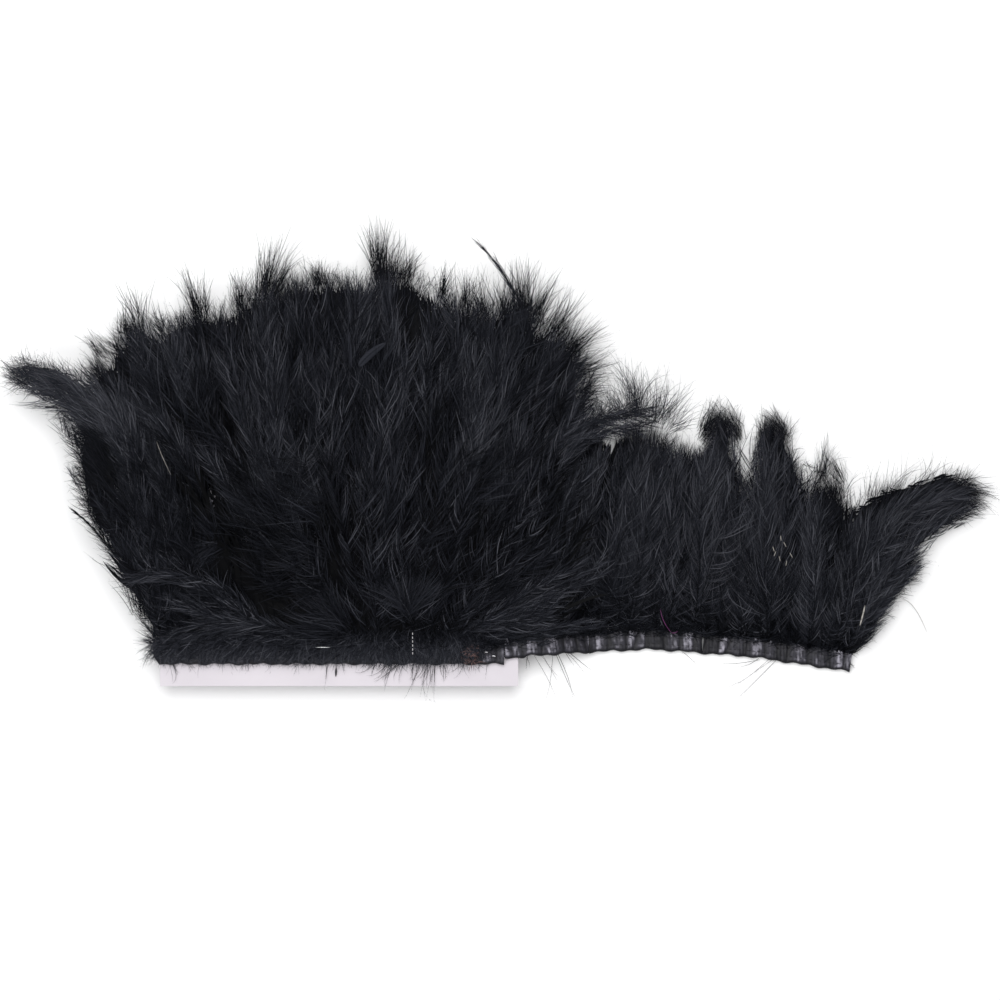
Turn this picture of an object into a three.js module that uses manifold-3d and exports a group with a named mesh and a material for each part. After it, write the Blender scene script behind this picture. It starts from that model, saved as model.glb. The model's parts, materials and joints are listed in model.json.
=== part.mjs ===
// A feather boa of the flat kind: marabou feathers sewn into a folded satin header, wound on a card
// from the top down, with the outer end of the header unrolled and lying on the table.
// Millimetres. +X runs along the header, +Y is the way the feathers point, +Z is up from the table.

import * as THREE from 'three';
import { mergeVertices } from 'three/addons/utils/BufferGeometryUtils.js';
import Module from 'manifold-3d';

const wasm = await Module();
wasm.setup();

// ---- driving dimensions ----

const GAP = 0.3; // clearance between pieces that touch

const CARD_WIDTH = 231;
const CARD_HEIGHT = 127;
const CARD_THICKNESS = 3;
const CARD_UNDERSIDE = 13; // the feathers behind the card hold it this far off the table
const CARD_TOP = CARD_UNDERSIDE + CARD_THICKNESS;

const HEADER_WIDTH = 12.7; // a 25.4 mm satin ribbon folded in half
const LEAF = 0.6; // one gathered leaf of that ribbon
const SLOT = 1.2; // room between the two leaves, which the quills fill
const HEADER_THICKNESS = 2 * LEAF + SLOT;

const FRONT_ROWS = 4; // row 1 is the highest and the first wound, row 4 the lowest and the last
const BACK_ROWS = 3;
const LOWEST_EDGE = 14.2; // folded edge of the lowest row, above the card's bottom edge
const PITCH = 31; // step down the card from one turn to the next
const FEATHER_LENGTH = 143;

const STEM = 1.8; // thickness of the feather layer where it leaves the header
const FRONT_LOFT = 5; // what a front row's feathers add to that where they are fullest
const FAN = 48; // how far the feathers spread past the card's left edge
const FAN_RIGHT = 50;
const FAN_LAST = 36; // the same on the right of the lowest row, which makes room for the tail
const BACK_FAN = { left: 44, right: 38 };
const TIP_COUNT = 7; // tips along the far edge of a row
const LEAD_RISE = 4.6; // the tail's lead runs this much higher than the row it leaves

const QUILL_SPACING = 12;
const QUILL = { width: 1.2, length: 11, thickness: 0.6, band: 2 };

const THREAD = { width: 0.5, height: 0.4, lines: [4, 8.5] }; // two lines, measured from the folded edge

const STAPLE = { x: 105.4, y: 25.2, crown: 9.7, wire: 0.5, hole: 1.1, clinch: 3.5 };

// The tail leaves the card at LEAD_START, bends at the three fold lines and ends at its cut end.
const LEAD_START = 222.6;
const FOLD_X = [236.3, 318, 383];
const TAIL_END = 447;
const TAIL_REACH = 185; // the tips of the tail's feathers, above the card's bottom edge
const TAIL_LOFT = 17;
const TAIL_ON_TABLE = 292; // from here on the header lies on the table
const FOLD_BEVEL = Math.tan(THREE.MathUtils.degToRad(32)); // side slope that lets a fold close by 60 degrees

const FINISHES = {
  card: { colour: [0.93, 0.91, 0.93], roughness: 0.9 },
  satin: { colour: [0.12, 0.11, 0.14], roughness: 0.45 },
  quill: { colour: [0.09, 0.09, 0.1], roughness: 0.9 },
  feather: { colour: [0.07, 0.07, 0.09], roughness: 0.9 },
  thread: { colour: [0.05, 0.05, 0.06], roughness: 0.9 },
  steel: { colour: [0.75, 0.76, 0.78], roughness: 0.3, metalness: 1 },
};

const frontEdge = (row) => LOWEST_EDGE + (FRONT_ROWS - row) * PITCH;
const headerTop = (row) => frontEdge(row) + HEADER_WIDTH;
const frontHeaderZ = CARD_TOP + GAP;
const backHeaderZ = CARD_UNDERSIDE - GAP - HEADER_THICKNESS;
const slant = Math.atan2(PITCH, CARD_WIDTH); // a back row climbs one pitch from left to right

// Lower and upper ends for cutting shapes that have to run right through the boa.
const THROUGH_X = [-300, 600];
const THROUGH_Y = [0, 320];
const THROUGH_Z = [-1, 80];

// ---- solids ----

const boa = new THREE.Group();

function addPiece(name, geometry, slot) {
  const { colour, roughness, metalness = 0 } = FINISHES[slot];
  const color = new THREE.Color().setRGB(...colour, THREE.SRGBColorSpace);
  const material = new THREE.MeshStandardMaterial({ color, roughness, metalness });
  const mesh = new THREE.Mesh(geometry, material);
  mesh.name = name;
  boa.add(mesh);
}

function toSolid(geometry) {
  const bare = geometry.clone();
  bare.deleteAttribute('normal');
  bare.deleteAttribute('uv');
  const merged = mergeVertices(bare, 1e-4);
  const vertProperties = new Float32Array(merged.attributes.position.array);
  const triVerts = new Uint32Array(merged.index.array);
  return new wasm.Manifold(new wasm.Mesh({ numProp: 3, vertProperties, triVerts }));
}

function toGeometry(solid) {
  const { vertProperties, triVerts } = solid.getMesh();
  const geometry = new THREE.BufferGeometry();
  geometry.setAttribute('position', new THREE.BufferAttribute(vertProperties, 3));
  geometry.setIndex(new THREE.BufferAttribute(triVerts, 1));
  geometry.computeVertexNormals();
  return geometry;
}

const join = (geometries) => toGeometry(geometries.map(toSolid).reduce((a, b) => a.add(b)));

const cut = (geometry, tools) =>
  toGeometry(tools.map(toSolid).reduce((a, b) => a.subtract(b), toSolid(geometry)));

const common = (geometries) => toGeometry(geometries.map(toSolid).reduce((a, b) => a.intersect(b)));

// A point on the straight line between its neighbours would leave a cap that doesn't meet its sides.
function bendsAt([x, y], i, points) {
  const [ax, ay] = points.at(i - 1);
  const [bx, by] = points[(i + 1) % points.length];
  return Math.abs((x - ax) * (by - y) - (y - ay) * (bx - x)) > 1e-3;
}

const shapeOf = (points) =>
  new THREE.Shape(points.filter(bendsAt).map(([x, y]) => new THREE.Vector2(x, y)));

const extrude = (points, depth) =>
  new THREE.ExtrudeGeometry(shapeOf(points), { depth, bevelEnabled: false });

// A box from its lowest and highest corners.
function block(low, high) {
  const size = high.map((v, i) => v - low[i]);
  return new THREE.BoxGeometry(...size).translate(...low.map((v, i) => v + size[i] / 2));
}

// A plan outline in X and Y, standing from z = low to z = high.
const standing = (outline, low, high) => extrude(outline, high - low).translate(0, 0, low);

// A section in Y and Z, run along X.
function alongX(section, from, to) {
  const turn = new THREE.Matrix4().makeBasis(
    new THREE.Vector3(0, 1, 0),
    new THREE.Vector3(0, 0, 1),
    new THREE.Vector3(1, 0, 0),
  );
  return extrude(section, to - from).applyMatrix4(turn).translate(from, 0, 0);
}

// A section in X and Z, run along Y.
function alongY(section, from, to) {
  const turn = new THREE.Matrix4().makeBasis(
    new THREE.Vector3(1, 0, 0),
    new THREE.Vector3(0, 0, 1),
    new THREE.Vector3(0, -1, 0),
  );
  return extrude(section, to - from).applyMatrix4(turn).translate(0, to, 0);
}

// ---- the header: one folded ribbon with quills between its leaves and two lines of stitches ----

// Section of the folded ribbon in Y and Z: closed along the lower edge, open towards +Y.
const headerSection = (y, z) => [
  [y, z],
  [y + HEADER_WIDTH, z],
  [y + HEADER_WIDTH, z + LEAF],
  [y + LEAF, z + LEAF],
  [y + LEAF, z + LEAF + SLOT],
  [y + HEADER_WIDTH, z + LEAF + SLOT],
  [y + HEADER_WIDTH, z + HEADER_THICKNESS],
  [y, z + HEADER_THICKNESS],
];

// Plan of the two lines of stitches, joined at one end where the seam turns back.
function stitchPlan(from, to, y) {
  const [first, second] = THREAD.lines.map((line) => y + line);
  const inner = from + THREAD.width;
  const shortEnd = to - 4 * THREAD.width;
  return [
    [from, first],
    [to, first],
    [to, first + THREAD.width],
    [inner, first + THREAD.width],
    [inner, second],
    [shortEnd, second],
    [shortEnd, second + THREAD.width],
    [from, second + THREAD.width],
  ];
}

// Plan of the quill ends, crushed together into a band deep in the slot and standing from it at even
// spacing as far as the header's open edge.
function quillPlan(from, to, y) {
  const count = Math.floor((to - from) / QUILL_SPACING);
  const step = (to - from) / count;
  const [foot, open] = [y + HEADER_WIDTH - QUILL.length, y + HEADER_WIDTH];
  const teeth = Array.from({ length: count }, (_, i) => {
    const x = to - step * (i + 0.5);
    const [right, left] = [x + QUILL.width / 2, x - QUILL.width / 2];
    return [[right, foot + QUILL.band], [right, open], [left, open], [left, foot + QUILL.band]];
  });
  const band = [[from, foot + QUILL.band], [from, foot], [to, foot], [to, foot + QUILL.band]];
  return [...band, ...teeth.flat()];
}

const quillZ = LEAF + (SLOT - QUILL.thickness) / 2; // above the header's underside

// One straight stretch of header with its quills and stitches. place moves the finished stretch.
function addHeader(name, { from, to, y, z, threadZ, holes = [], place = (g) => g }) {
  const ribbon = alongX(headerSection(y, z), from, to);
  addPiece(`${name}_header`, place(holes.length ? cut(ribbon, holes) : ribbon), 'satin');
  const low = z + quillZ;
  const ends = standing(quillPlan(from + 1, to - 1, y), low, low + QUILL.thickness);
  addPiece(`${name}_quills`, place(ends), 'quill');
  const threads = standing(stitchPlan(from + 1, to - 1, y), threadZ, threadZ + THREAD.height);
  addPiece(`${name}_stitching`, place(threads), 'thread');
}

// ---- feather rows ----

const FULLEST = 0.6; // below 1, a layer is at its thickest before the middle of its length

// Thickness of a layer of feathers at a share of its length.
const layer = (share, loft) => STEM + loft * Math.sin(Math.PI * Math.min(1, share) ** FULLEST);

// A row's sides: shares of the fan that they have reached at shares of the feathers' length.
const SIDE_STEPS = [
  { fan: 0.55, up: 0.36 },
  { fan: 1, up: 0.78 },
];

const DIPS = [12, 15.9, 19.8, 14.6, 18.5, 13.3, 17.2]; // depths between one tip and the next, in turn

// Plan outline of a row: its base runs from left to right along the header, its sides fan out, and its
// far edge is a row of tips with a dip between each two.
function rowOutline({ left, right, fanLeft, fanRight, tips, notch = [], plume = [] }) {
  const side = ([x, y], spread) =>
    SIDE_STEPS.map(({ fan, up }) => [x + spread * fan, y + FEATHER_LENGTH * up]);
  const far = tips.flatMap(([x, y], i) => {
    if (i === tips.length - 1) return [[x, y]];
    const [nextX, nextY] = tips[i + 1];
    return [[x, y], [(x + nextX) / 2, Math.min(y, nextY) - DIPS[i % DIPS.length]]];
  });
  const outer = side(left, -fanLeft).reverse();
  return [left, ...notch, right, ...side(right, fanRight), ...far.reverse(), ...plume, ...outer];
}

const TIP_SHORTENING = 0.5; // how much shorter the feathers are at the ends of a row
const TIP_VARIATION = { size: 0.04, step: 2.4 }; // the uneven reach of neighbouring tips

// Tips spread evenly from one side's fan to the other's, shorter towards both ends.
function evenTips(left, right, fanLeft, fanRight) {
  const { size, step } = TIP_VARIATION;
  return Array.from({ length: TIP_COUNT }, (_, i) => {
    const share = (i + 0.5) / TIP_COUNT;
    const x = THREE.MathUtils.lerp(left[0] - fanLeft, right[0] + fanRight, share);
    const base = THREE.MathUtils.lerp(left[1], right[1], share);
    const middling = 1 - TIP_SHORTENING * (share - 0.5) ** 2;
    return [x, base + FEATHER_LENGTH * (middling + size * Math.sin(step * i))];
  });
}

// ---- the card and its staple ----

const stapleLegs = [-1, 1].map((side) => STAPLE.x + (side * STAPLE.crown) / 2);

const stapleHoles = stapleLegs.map((x) =>
  block(
    [x - STAPLE.hole / 2, STAPLE.y - STAPLE.hole / 2, CARD_UNDERSIDE - 1],
    [x + STAPLE.hole / 2, STAPLE.y + STAPLE.hole / 2, CARD_TOP + HEADER_THICKNESS + 2],
  ),
);

function addCard() {
  const card = block([0, 0, CARD_UNDERSIDE], [CARD_WIDTH, CARD_HEIGHT, CARD_TOP]);
  addPiece('winding_card', cut(card, stapleHoles), 'card');
}

// Crown over the header, legs through header and card, ends clinched inwards behind the card.
function addStaple() {
  const half = STAPLE.wire / 2;
  const top = frontHeaderZ + HEADER_THICKNESS + GAP + STAPLE.wire;
  const bottom = CARD_UNDERSIDE - GAP - STAPLE.wire;
  const y = [STAPLE.y - half, STAPLE.y + half];
  const crown = block(
    [stapleLegs[0] - half, y[0], top - STAPLE.wire],
    [stapleLegs[1] + half, y[1], top],
  );
  const legs = stapleLegs.map((x) => block([x - half, y[0], bottom], [x + half, y[1], top]));
  const clinches = stapleLegs.map((x, i) => {
    const inner = x + (i === 0 ? STAPLE.clinch : -STAPLE.clinch);
    return block(
      [Math.min(x - half, inner), y[0], bottom],
      [Math.max(x + half, inner), y[1], bottom + STAPLE.wire],
    );
  });
  addPiece('card_staple', join([crown, ...legs, ...clinches]), 'steel');
}

// ---- front rows ----

const ROW_STEPS = 10; // half pitches that a front row's feathers reach
const FIRST_ROW_STEPS = 12;

// Heights of the front layers on a grid of half pitches. Each layer lies on the one wound before it,
// clears the headers it crosses, and past the card's top edge sags on to the feathers behind.
function frontLayers() {
  const step = PITCH / 2;
  const clearOfHeader = frontHeaderZ + HEADER_THICKNESS + GAP + THREAD.height + GAP;
  const exit = frontHeaderZ + HEADER_THICKNESS / 2 - STEM / 2;
  const layers = [];
  for (let row = 1; row <= FRONT_ROWS; row += 1) {
    const start = headerTop(row);
    const steps = row === 1 ? FIRST_ROW_STEPS : ROW_STEPS;
    const points = new Map();
    for (let i = 0; i <= steps; i += 1) {
      const y = start + i * step;
      const key = Math.round((y - headerTop(FRONT_ROWS)) / step);
      const under = layers.length ? layers[layers.length - 1].points.get(key) : undefined;
      const rests = under ? under.top + GAP : 0;
      const bed = row === 1 ? (i < 2 ? exit : CARD_UNDERSIDE + GAP) : 0;
      const crosses = row > 1 && y < headerTop(1) + 1 ? clearOfHeader : 0;
      const low = i === 0 ? exit : Math.max(rests, bed, crosses);
      points.set(key, { y, low, top: low + layer(i / steps, FRONT_LOFT) });
    }
    layers.push({ row, points });
  }
  return layers;
}

// The tips of the highest row, whose longest feathers stand over the others.
const FIRST_ROW_TIPS = [
  [-34, 240],
  [10, 272],
  [44, 262],
  [80, 292],
  [112, 272],
  [146, 305],
  [176, 275],
  [206, 286],
  [262, 238],
];

// One stray feather on the left of the third row, from its upper side round its tip.
const SIDE_PLUME = [
  [-50, 198],
  [-93, 207],
  [-64, 183],
];

function addFrontRows() {
  for (const { row, points } of frontLayers()) {
    const last = row === FRONT_ROWS;
    addHeader(`front_row_${row}`, {
      from: 0.4,
      to: last ? LEAD_START - 0.6 : CARD_WIDTH - 0.4,
      y: frontEdge(row),
      z: frontHeaderZ,
      threadZ: frontHeaderZ + HEADER_THICKNESS + GAP,
      holes: last ? stapleHoles : [],
    });
    const rows = [...points.values()];
    rows[0] = { ...rows[0], y: rows[0].y + GAP };
    const section = [...rows.map((p) => [p.y, p.low]), ...rows.map((p) => [p.y, p.top]).reverse()];
    const base = headerTop(row) + GAP;
    const lift = last ? LEAD_RISE : 0;
    const left = [1, base];
    const right = [CARD_WIDTH - 1, base + lift];
    const fanRight = last ? FAN_LAST : FAN_RIGHT;
    const tips = row === 1 ? FIRST_ROW_TIPS : evenTips(left, right, FAN, fanRight);
    const outline = rowOutline({
      left,
      right,
      notch: last ? [[LEAD_START - 1.4, base], [LEAD_START - 1, base + lift]] : [],
      fanLeft: FAN,
      fanRight,
      tips,
      plume: row === 3 ? SIDE_PLUME : [],
    });
    const solid = common([alongX(section, ...THROUGH_X), standing(outline, ...THROUGH_Z)]);
    addPiece(`front_row_${row}_feathers`, solid, 'feather');
  }
}

// ---- back rows ----

const BACK_SHELF = { second: 6.1, third: 5.8 }; // underside of the second layer, top of the third

// Sections of the back layers above their header's open edge: each lies under the one wound before it,
// so that row 3 is next to the table.
function backSection(row) {
  const exit = backHeaderZ + HEADER_THICKNESS / 2 - STEM / 2;
  const step = (PITCH / 2) * Math.cos(slant);
  const far = FEATHER_LENGTH + 10;
  const belowHeaders = backHeaderZ - GAP - THREAD.height - GAP;
  const lowStart = [GAP, exit];
  const topStart = [GAP, exit + STEM];
  const slab = (low, top) => [lowStart, [step, low], [far, low], [far, top], [step, top], topStart];
  if (row === 1) return slab(belowHeaders + GAP, CARD_UNDERSIDE - GAP);
  if (row === 2) return slab(BACK_SHELF.second, belowHeaders);
  return [
    lowStart,
    [step, 0],
    [far, 0],
    [far, BACK_SHELF.third],
    [3 * step, BACK_SHELF.third],
    [2 * step, belowHeaders],
    [step, belowHeaders],
    topStart,
  ];
}

function addBackRows() {
  const endGap = 1.3; // keeps both ends clear of the turns
  const run = Math.hypot(CARD_WIDTH, PITCH) / 2 - endGap;
  const skew = HEADER_WIDTH * Math.tan(slant); // how far the square-cut end leans past its lower corner
  const inset = 2;
  for (let row = 1; row <= BACK_ROWS; row += 1) {
    const middle = frontEdge(row) - PITCH / 2;
    const place = (g) => g.rotateZ(slant).translate(CARD_WIDTH / 2, middle, 0);
    addHeader(`back_row_${row}`, {
      from: skew - run,
      to: run,
      y: 0,
      z: backHeaderZ,
      threadZ: backHeaderZ - GAP - THREAD.height,
      place,
    });
    const section = backSection(row).map(([y, z]) => [y + HEADER_WIDTH, z]);
    const left = [inset, headerTop(row + 1) - inset];
    const right = [CARD_WIDTH - inset, headerTop(row) - inset];
    const tips = evenTips(left, right, BACK_FAN.left, BACK_FAN.right);
    const outline = rowOutline({
      left,
      right,
      fanLeft: BACK_FAN.left,
      fanRight: BACK_FAN.right,
      tips,
    });
    const solid = common([place(alongX(section, ...THROUGH_X)), standing(outline, ...THROUGH_Z)]);
    addPiece(`back_row_${row}_feathers`, solid, 'feather');
  }
}

// ---- the turns round the card's two side edges ----

const TURN_STEPS = 8; // straight facets round each half turn

function wrapSection(centreX, side) {
  const centreZ = CARD_UNDERSIDE + CARD_THICKNESS / 2;
  const inner = CARD_THICKNESS / 2 + GAP;
  const outer = inner + HEADER_THICKNESS;
  const arc = (radius, flip) =>
    Array.from({ length: TURN_STEPS + 1 }, (_, i) => {
      const angle = Math.PI * ((flip ? TURN_STEPS - i : i) / TURN_STEPS - 0.5);
      return [centreX + side * radius * Math.cos(angle), centreZ + radius * Math.sin(angle)];
    });
  return [...arc(outer, false), ...arc(inner, true)];
}

function addWraps() {
  for (let row = 1; row <= BACK_ROWS; row += 1) {
    const right = wrapSection(CARD_WIDTH, 1);
    const left = wrapSection(0, -1).reverse();
    const [upper, lower] = [frontEdge(row), frontEdge(row + 1)];
    addPiece(`right_turn_${row}`, alongY(right, upper, upper + HEADER_WIDTH), 'satin');
    addPiece(`left_turn_${row}`, alongY(left, lower, lower + HEADER_WIDTH), 'satin');
  }
}

// ---- the tail ----

// The tail's folded edge in plan, one gentle arch, as a height above the card's bottom edge.
const tailPlan = new THREE.QuadraticBezierCurve(
  new THREE.Vector2(LEAD_START, 17.2),
  new THREE.Vector2(312, 33),
  new THREE.Vector2(TAIL_END, 8.4),
);

function tailEdge(x) {
  const { v0, v1, v2 } = tailPlan;
  const a = v0.x - 2 * v1.x + v2.x;
  const b = 2 * (v1.x - v0.x);
  const t = (-b + Math.sqrt(b * b - 4 * a * (v0.x - x))) / (2 * a);
  return tailPlan.getPoint(t).y;
}

// The header comes down from the card's face to the table in one smooth slope.
function tailLift(x) {
  const fall = THREE.MathUtils.smoothstep(x, FOLD_X[0], TAIL_ON_TABLE);
  return frontHeaderZ * (1 - fall);
}

function addLead() {
  const y = tailEdge((LEAD_START + FOLD_X[0]) / 2);
  const ribbon = alongX(headerSection(y, frontHeaderZ), LEAD_START, FOLD_X[0] - 2 * GAP);
  addPiece('tail_lead_header', ribbon, 'satin');
}

// Moves a stretch that was built from the origin to its two ends in plan.
function tailPlace(from, to) {
  const [a, b] = [tailEdge(from), tailEdge(to)];
  const turn = Math.atan2(b - a, to - from);
  return {
    run: Math.hypot(to - from, b - a),
    place: (g) => g.rotateZ(turn).translate(from, a, 0),
  };
}

const FOLD_GAP = 0.8; // from a fold line to the header on each side of it

// The first stretch follows the slope, so each of its pieces is cut from a slab bent to that slope.
function addSlopingStretch() {
  const [start, end] = FOLD_X;
  const { run, place } = tailPlace(start, end);
  const [from, to] = [FOLD_GAP, run - FOLD_GAP];
  const steps = 10;
  const slab = (z, thickness, y0, y1) => {
    const line = Array.from({ length: steps + 1 }, (_, i) => {
      const x = from + ((to - from) * i) / steps;
      return [x, tailLift(start + x) + z];
    });
    const upper = line.map(([x, low]) => [x, low + thickness]).reverse();
    return alongY([...line, ...upper], y0, y1);
  };
  const over = HEADER_WIDTH + 1;
  const pieceOf = (plan, z, thickness) =>
    place(common([slab(z, thickness, -1, over), standing(plan, ...THROUGH_Z)]));
  const ribbon = cut(slab(0, HEADER_THICKNESS, 0, HEADER_WIDTH), [slab(LEAF, SLOT, LEAF, over)]);
  addPiece('tail_1_header', place(ribbon), 'satin');
  const ends = pieceOf(quillPlan(from + 1, to - 1, 0), quillZ, QUILL.thickness);
  addPiece('tail_1_quills', ends, 'quill');
  const threads = pieceOf(stitchPlan(from + 1, to - 1, 0), HEADER_THICKNESS + GAP, THREAD.height);
  addPiece('tail_1_stitching', threads, 'thread');
}

// A later stretch lies flat on the table, straight between its two fold lines.
function addFlatStretch(number, start, end) {
  const { run, place } = tailPlace(start, end);
  addHeader(`tail_${number}`, {
    from: FOLD_GAP,
    to: run - FOLD_GAP,
    y: 0,
    z: 0,
    threadZ: HEADER_THICKNESS + GAP,
    place,
  });
}

// Shares of the tail feathers' length at which their thickness is given.
const TAIL_STEPS = [0, 0.12, 0.3, 0.5, 0.75, 1];

// The plume at the cut end, from its lower side round its tip, as distances past the end and heights
// above the card's bottom edge.
const END_PLUME = [
  [12, 42],
  [42, 88],
  [86, 112],
  [60, 130],
  [28, 134],
  [4, 128],
  [-18, 146],
  [-34, 142],
];

const TAIL_FULLEST = 0.7; // below 1, the layer is at its thickest before the middle
const TAIL_THINNING = 0.4; // share of the loft that is lost towards the tips
const SIDE_HEIGHT = 40; // higher than any feather, so that the sloping sides cut all of them

// Height of the tail's feathers at a share of their length. shoulder is their height at the header.
function tailTop(share, shoulder) {
  const loft = (TAIL_LOFT - 1) * Math.sin(Math.PI * share ** TAIL_FULLEST);
  return Math.min(shoulder + loft * (1 - TAIL_THINNING * share), TAIL_LOFT + 3);
}

// The tail's feathers, which lie from the table up. Their sides slope at each fold line, so that the
// stretches close on each other without touching.
function addTailFeathers(number, { from, to, shoulder, outline }) {
  const low = Math.min(tailEdge(from), tailEdge(to)) + HEADER_WIDTH;
  const top = TAIL_STEPS.map((s) => [low + (TAIL_REACH - low) * s, tailTop(s, shoulder)]);
  const section = [[low, 0], [TAIL_REACH, 0], ...top.reverse()];
  const lean = SIDE_HEIGHT * FOLD_BEVEL;
  const sides = [
    [from + GAP, 0],
    [to - GAP, 0],
    [to - GAP, HEADER_THICKNESS],
    [to - GAP - lean, SIDE_HEIGHT],
    [from + GAP + lean, SIDE_HEIGHT],
    [from + GAP, HEADER_THICKNESS],
  ];
  const solid = common([
    alongX(section, ...THROUGH_X),
    alongY(sides, ...THROUGH_Y),
    standing(outline, ...THROUGH_Z),
  ]);
  addPiece(`tail_${number}_feathers`, solid, 'feather');
}

// Each outline runs from the header, to the right and round the tips.
function addTail() {
  const [first, second, third] = FOLD_X;
  const foot = (x, clear = 2 * GAP) => [x, tailEdge(x) + HEADER_WIDTH + clear];
  const slopeClear = 1.1;
  addLead();
  addSlopingStretch();
  addTailFeathers(1, {
    from: first,
    to: second,
    shoulder: frontHeaderZ + HEADER_THICKNESS,
    outline: [
      foot(first + 3, slopeClear),
      foot(first + 40, slopeClear),
      foot(second, slopeClear),
      [second, 166],
      [second - 10, 172],
      [second - 18, 160],
      [first + 56, 158],
    ],
  });
  addFlatStretch(2, second, third);
  addTailFeathers(2, {
    from: second,
    to: third,
    shoulder: HEADER_THICKNESS + 2 * GAP,
    outline: [
      foot(second),
      foot(third),
      [third, 168],
      [third - 10, 172],
      [third - 22, 158],
      [third - 36, 178],
      [third - 52, 160],
      [second, 166],
    ],
  });
  addFlatStretch(3, third, TAIL_END);
  addTailFeathers(3, {
    from: third,
    to: END_PLUME.reduce((most, [x]) => Math.max(most, TAIL_END + x), 0) + SIDE_HEIGHT,
    shoulder: HEADER_THICKNESS + 2 * GAP,
    outline: [
      foot(third),
      foot(TAIL_END),
      ...END_PLUME.map(([x, y]) => [TAIL_END + x, y]),
      [third + 12, 164],
      [third, 160],
    ],
  });
}

addCard();
addStaple();
addFrontRows();
addBackRows();
addWraps();
addTail();

// The origin is at the middle of the base.
const box = new THREE.Box3().setFromObject(boa);
boa.position.set(-(box.min.x + box.max.x) / 2, -(box.min.y + box.max.y) / 2, -box.min.z);

export default boa;
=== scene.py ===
import json
import math

import bpy
import numpy as np
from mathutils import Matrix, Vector
from mathutils.bvhtree import BVHTree


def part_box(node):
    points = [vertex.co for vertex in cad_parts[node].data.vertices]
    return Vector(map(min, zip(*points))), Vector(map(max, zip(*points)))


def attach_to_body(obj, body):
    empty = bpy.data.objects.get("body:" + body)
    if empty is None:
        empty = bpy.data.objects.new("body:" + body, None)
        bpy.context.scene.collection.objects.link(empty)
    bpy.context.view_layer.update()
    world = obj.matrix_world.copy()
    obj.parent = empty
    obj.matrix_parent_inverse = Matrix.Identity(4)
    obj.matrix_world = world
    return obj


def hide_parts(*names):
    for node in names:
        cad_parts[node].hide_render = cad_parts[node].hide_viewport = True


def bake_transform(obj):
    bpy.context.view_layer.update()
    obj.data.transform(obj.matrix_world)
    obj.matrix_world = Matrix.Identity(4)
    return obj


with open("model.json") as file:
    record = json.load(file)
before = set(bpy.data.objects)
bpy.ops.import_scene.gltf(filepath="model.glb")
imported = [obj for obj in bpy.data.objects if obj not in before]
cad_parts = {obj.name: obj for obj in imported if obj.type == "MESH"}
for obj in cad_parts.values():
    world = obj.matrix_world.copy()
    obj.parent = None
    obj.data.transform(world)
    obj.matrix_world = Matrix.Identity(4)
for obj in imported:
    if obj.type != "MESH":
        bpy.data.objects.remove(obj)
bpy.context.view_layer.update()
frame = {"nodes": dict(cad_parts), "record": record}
rng = np.random.default_rng(20)

# Everything below is worked out in millimetres in the card's own frame: x from the card's left edge,
# y from its bottom edge and z from the table. to_frame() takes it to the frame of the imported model.
MM = 0.001
TABLE_Z = 0.0
card_low, card_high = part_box("winding_card")
CARD_ORIGIN = np.array([card_low.x, card_low.y, TABLE_Z])
CARD_WIDTH = (card_high.x - card_low.x) / MM
CARD_TOP = card_high.z / MM


def to_frame(points):
    return np.asarray(points, float) * MM + CARD_ORIGIN


def node_box(name):
    low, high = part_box(name)
    return (np.array(low) - CARD_ORIGIN) / MM, (np.array(high) - CARD_ORIGIN) / MM


# Camera, lights and floor

VIEW_WIDTH = 0.645  # metres across the view at the card's face
VIEW_CENTRE = (-0.0007, -0.0325)
CAMERA_HEIGHT = 2.2
SENSOR = 36.0
LAMPS = {"softbox": ((-0.1, 0.55, 1.6), 1.6, 24), "fill": ((-0.9, -0.7, 1.2), 0.9, 6)}  # place, size, power
DAYLIGHT = 0.52
FLOOR_SIZE = 8
FLOOR_GAP = 0.0004  # keeps the floor clear of what lies on it


def add_camera():
    data = bpy.data.cameras.new("camera")
    data.sensor_width = SENSOR
    data.lens = SENSOR * (CAMERA_HEIGHT - CARD_TOP * MM) / VIEW_WIDTH
    camera = bpy.data.objects.new("camera", data)
    camera.location = (*VIEW_CENTRE, CAMERA_HEIGHT)
    bpy.context.scene.collection.objects.link(camera)
    bpy.context.scene.camera = camera


def add_lamp(name, place, size, power):
    """A round lamp aimed at the middle of the model."""
    data = bpy.data.lights.new(name, "AREA")
    data.shape = "DISK"
    data.size = size
    data.energy = power
    light = bpy.data.objects.new(name, data)
    light.location = place
    light.rotation_euler = (-Vector(place)).to_track_quat("-Z", "Y").to_euler()
    bpy.context.scene.collection.objects.link(light)


def add_studio():
    for name, lamp in LAMPS.items():
        add_lamp(name, *lamp)
    world = bpy.data.worlds.new("studio")
    world.use_nodes = True
    background = world.node_tree.nodes["Background"]
    background.inputs["Color"].default_value = (1.0, 1.0, 1.0, 1.0)
    background.inputs["Strength"].default_value = DAYLIGHT
    bpy.context.scene.world = world
    view = bpy.context.scene.view_settings
    view.view_transform = "Standard"
    view.look = "None"

    bpy.ops.mesh.primitive_plane_add(size=FLOOR_SIZE, location=(0, 0, TABLE_Z - FLOOR_GAP))
    floor = bpy.context.object
    floor.name = "floor"
    floor.data.materials.append(floor_material())


# Materials

NOISE_LOW, NOISE_HIGH = 0.3, 0.7  # most of a noise texture's values lie between these


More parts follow.
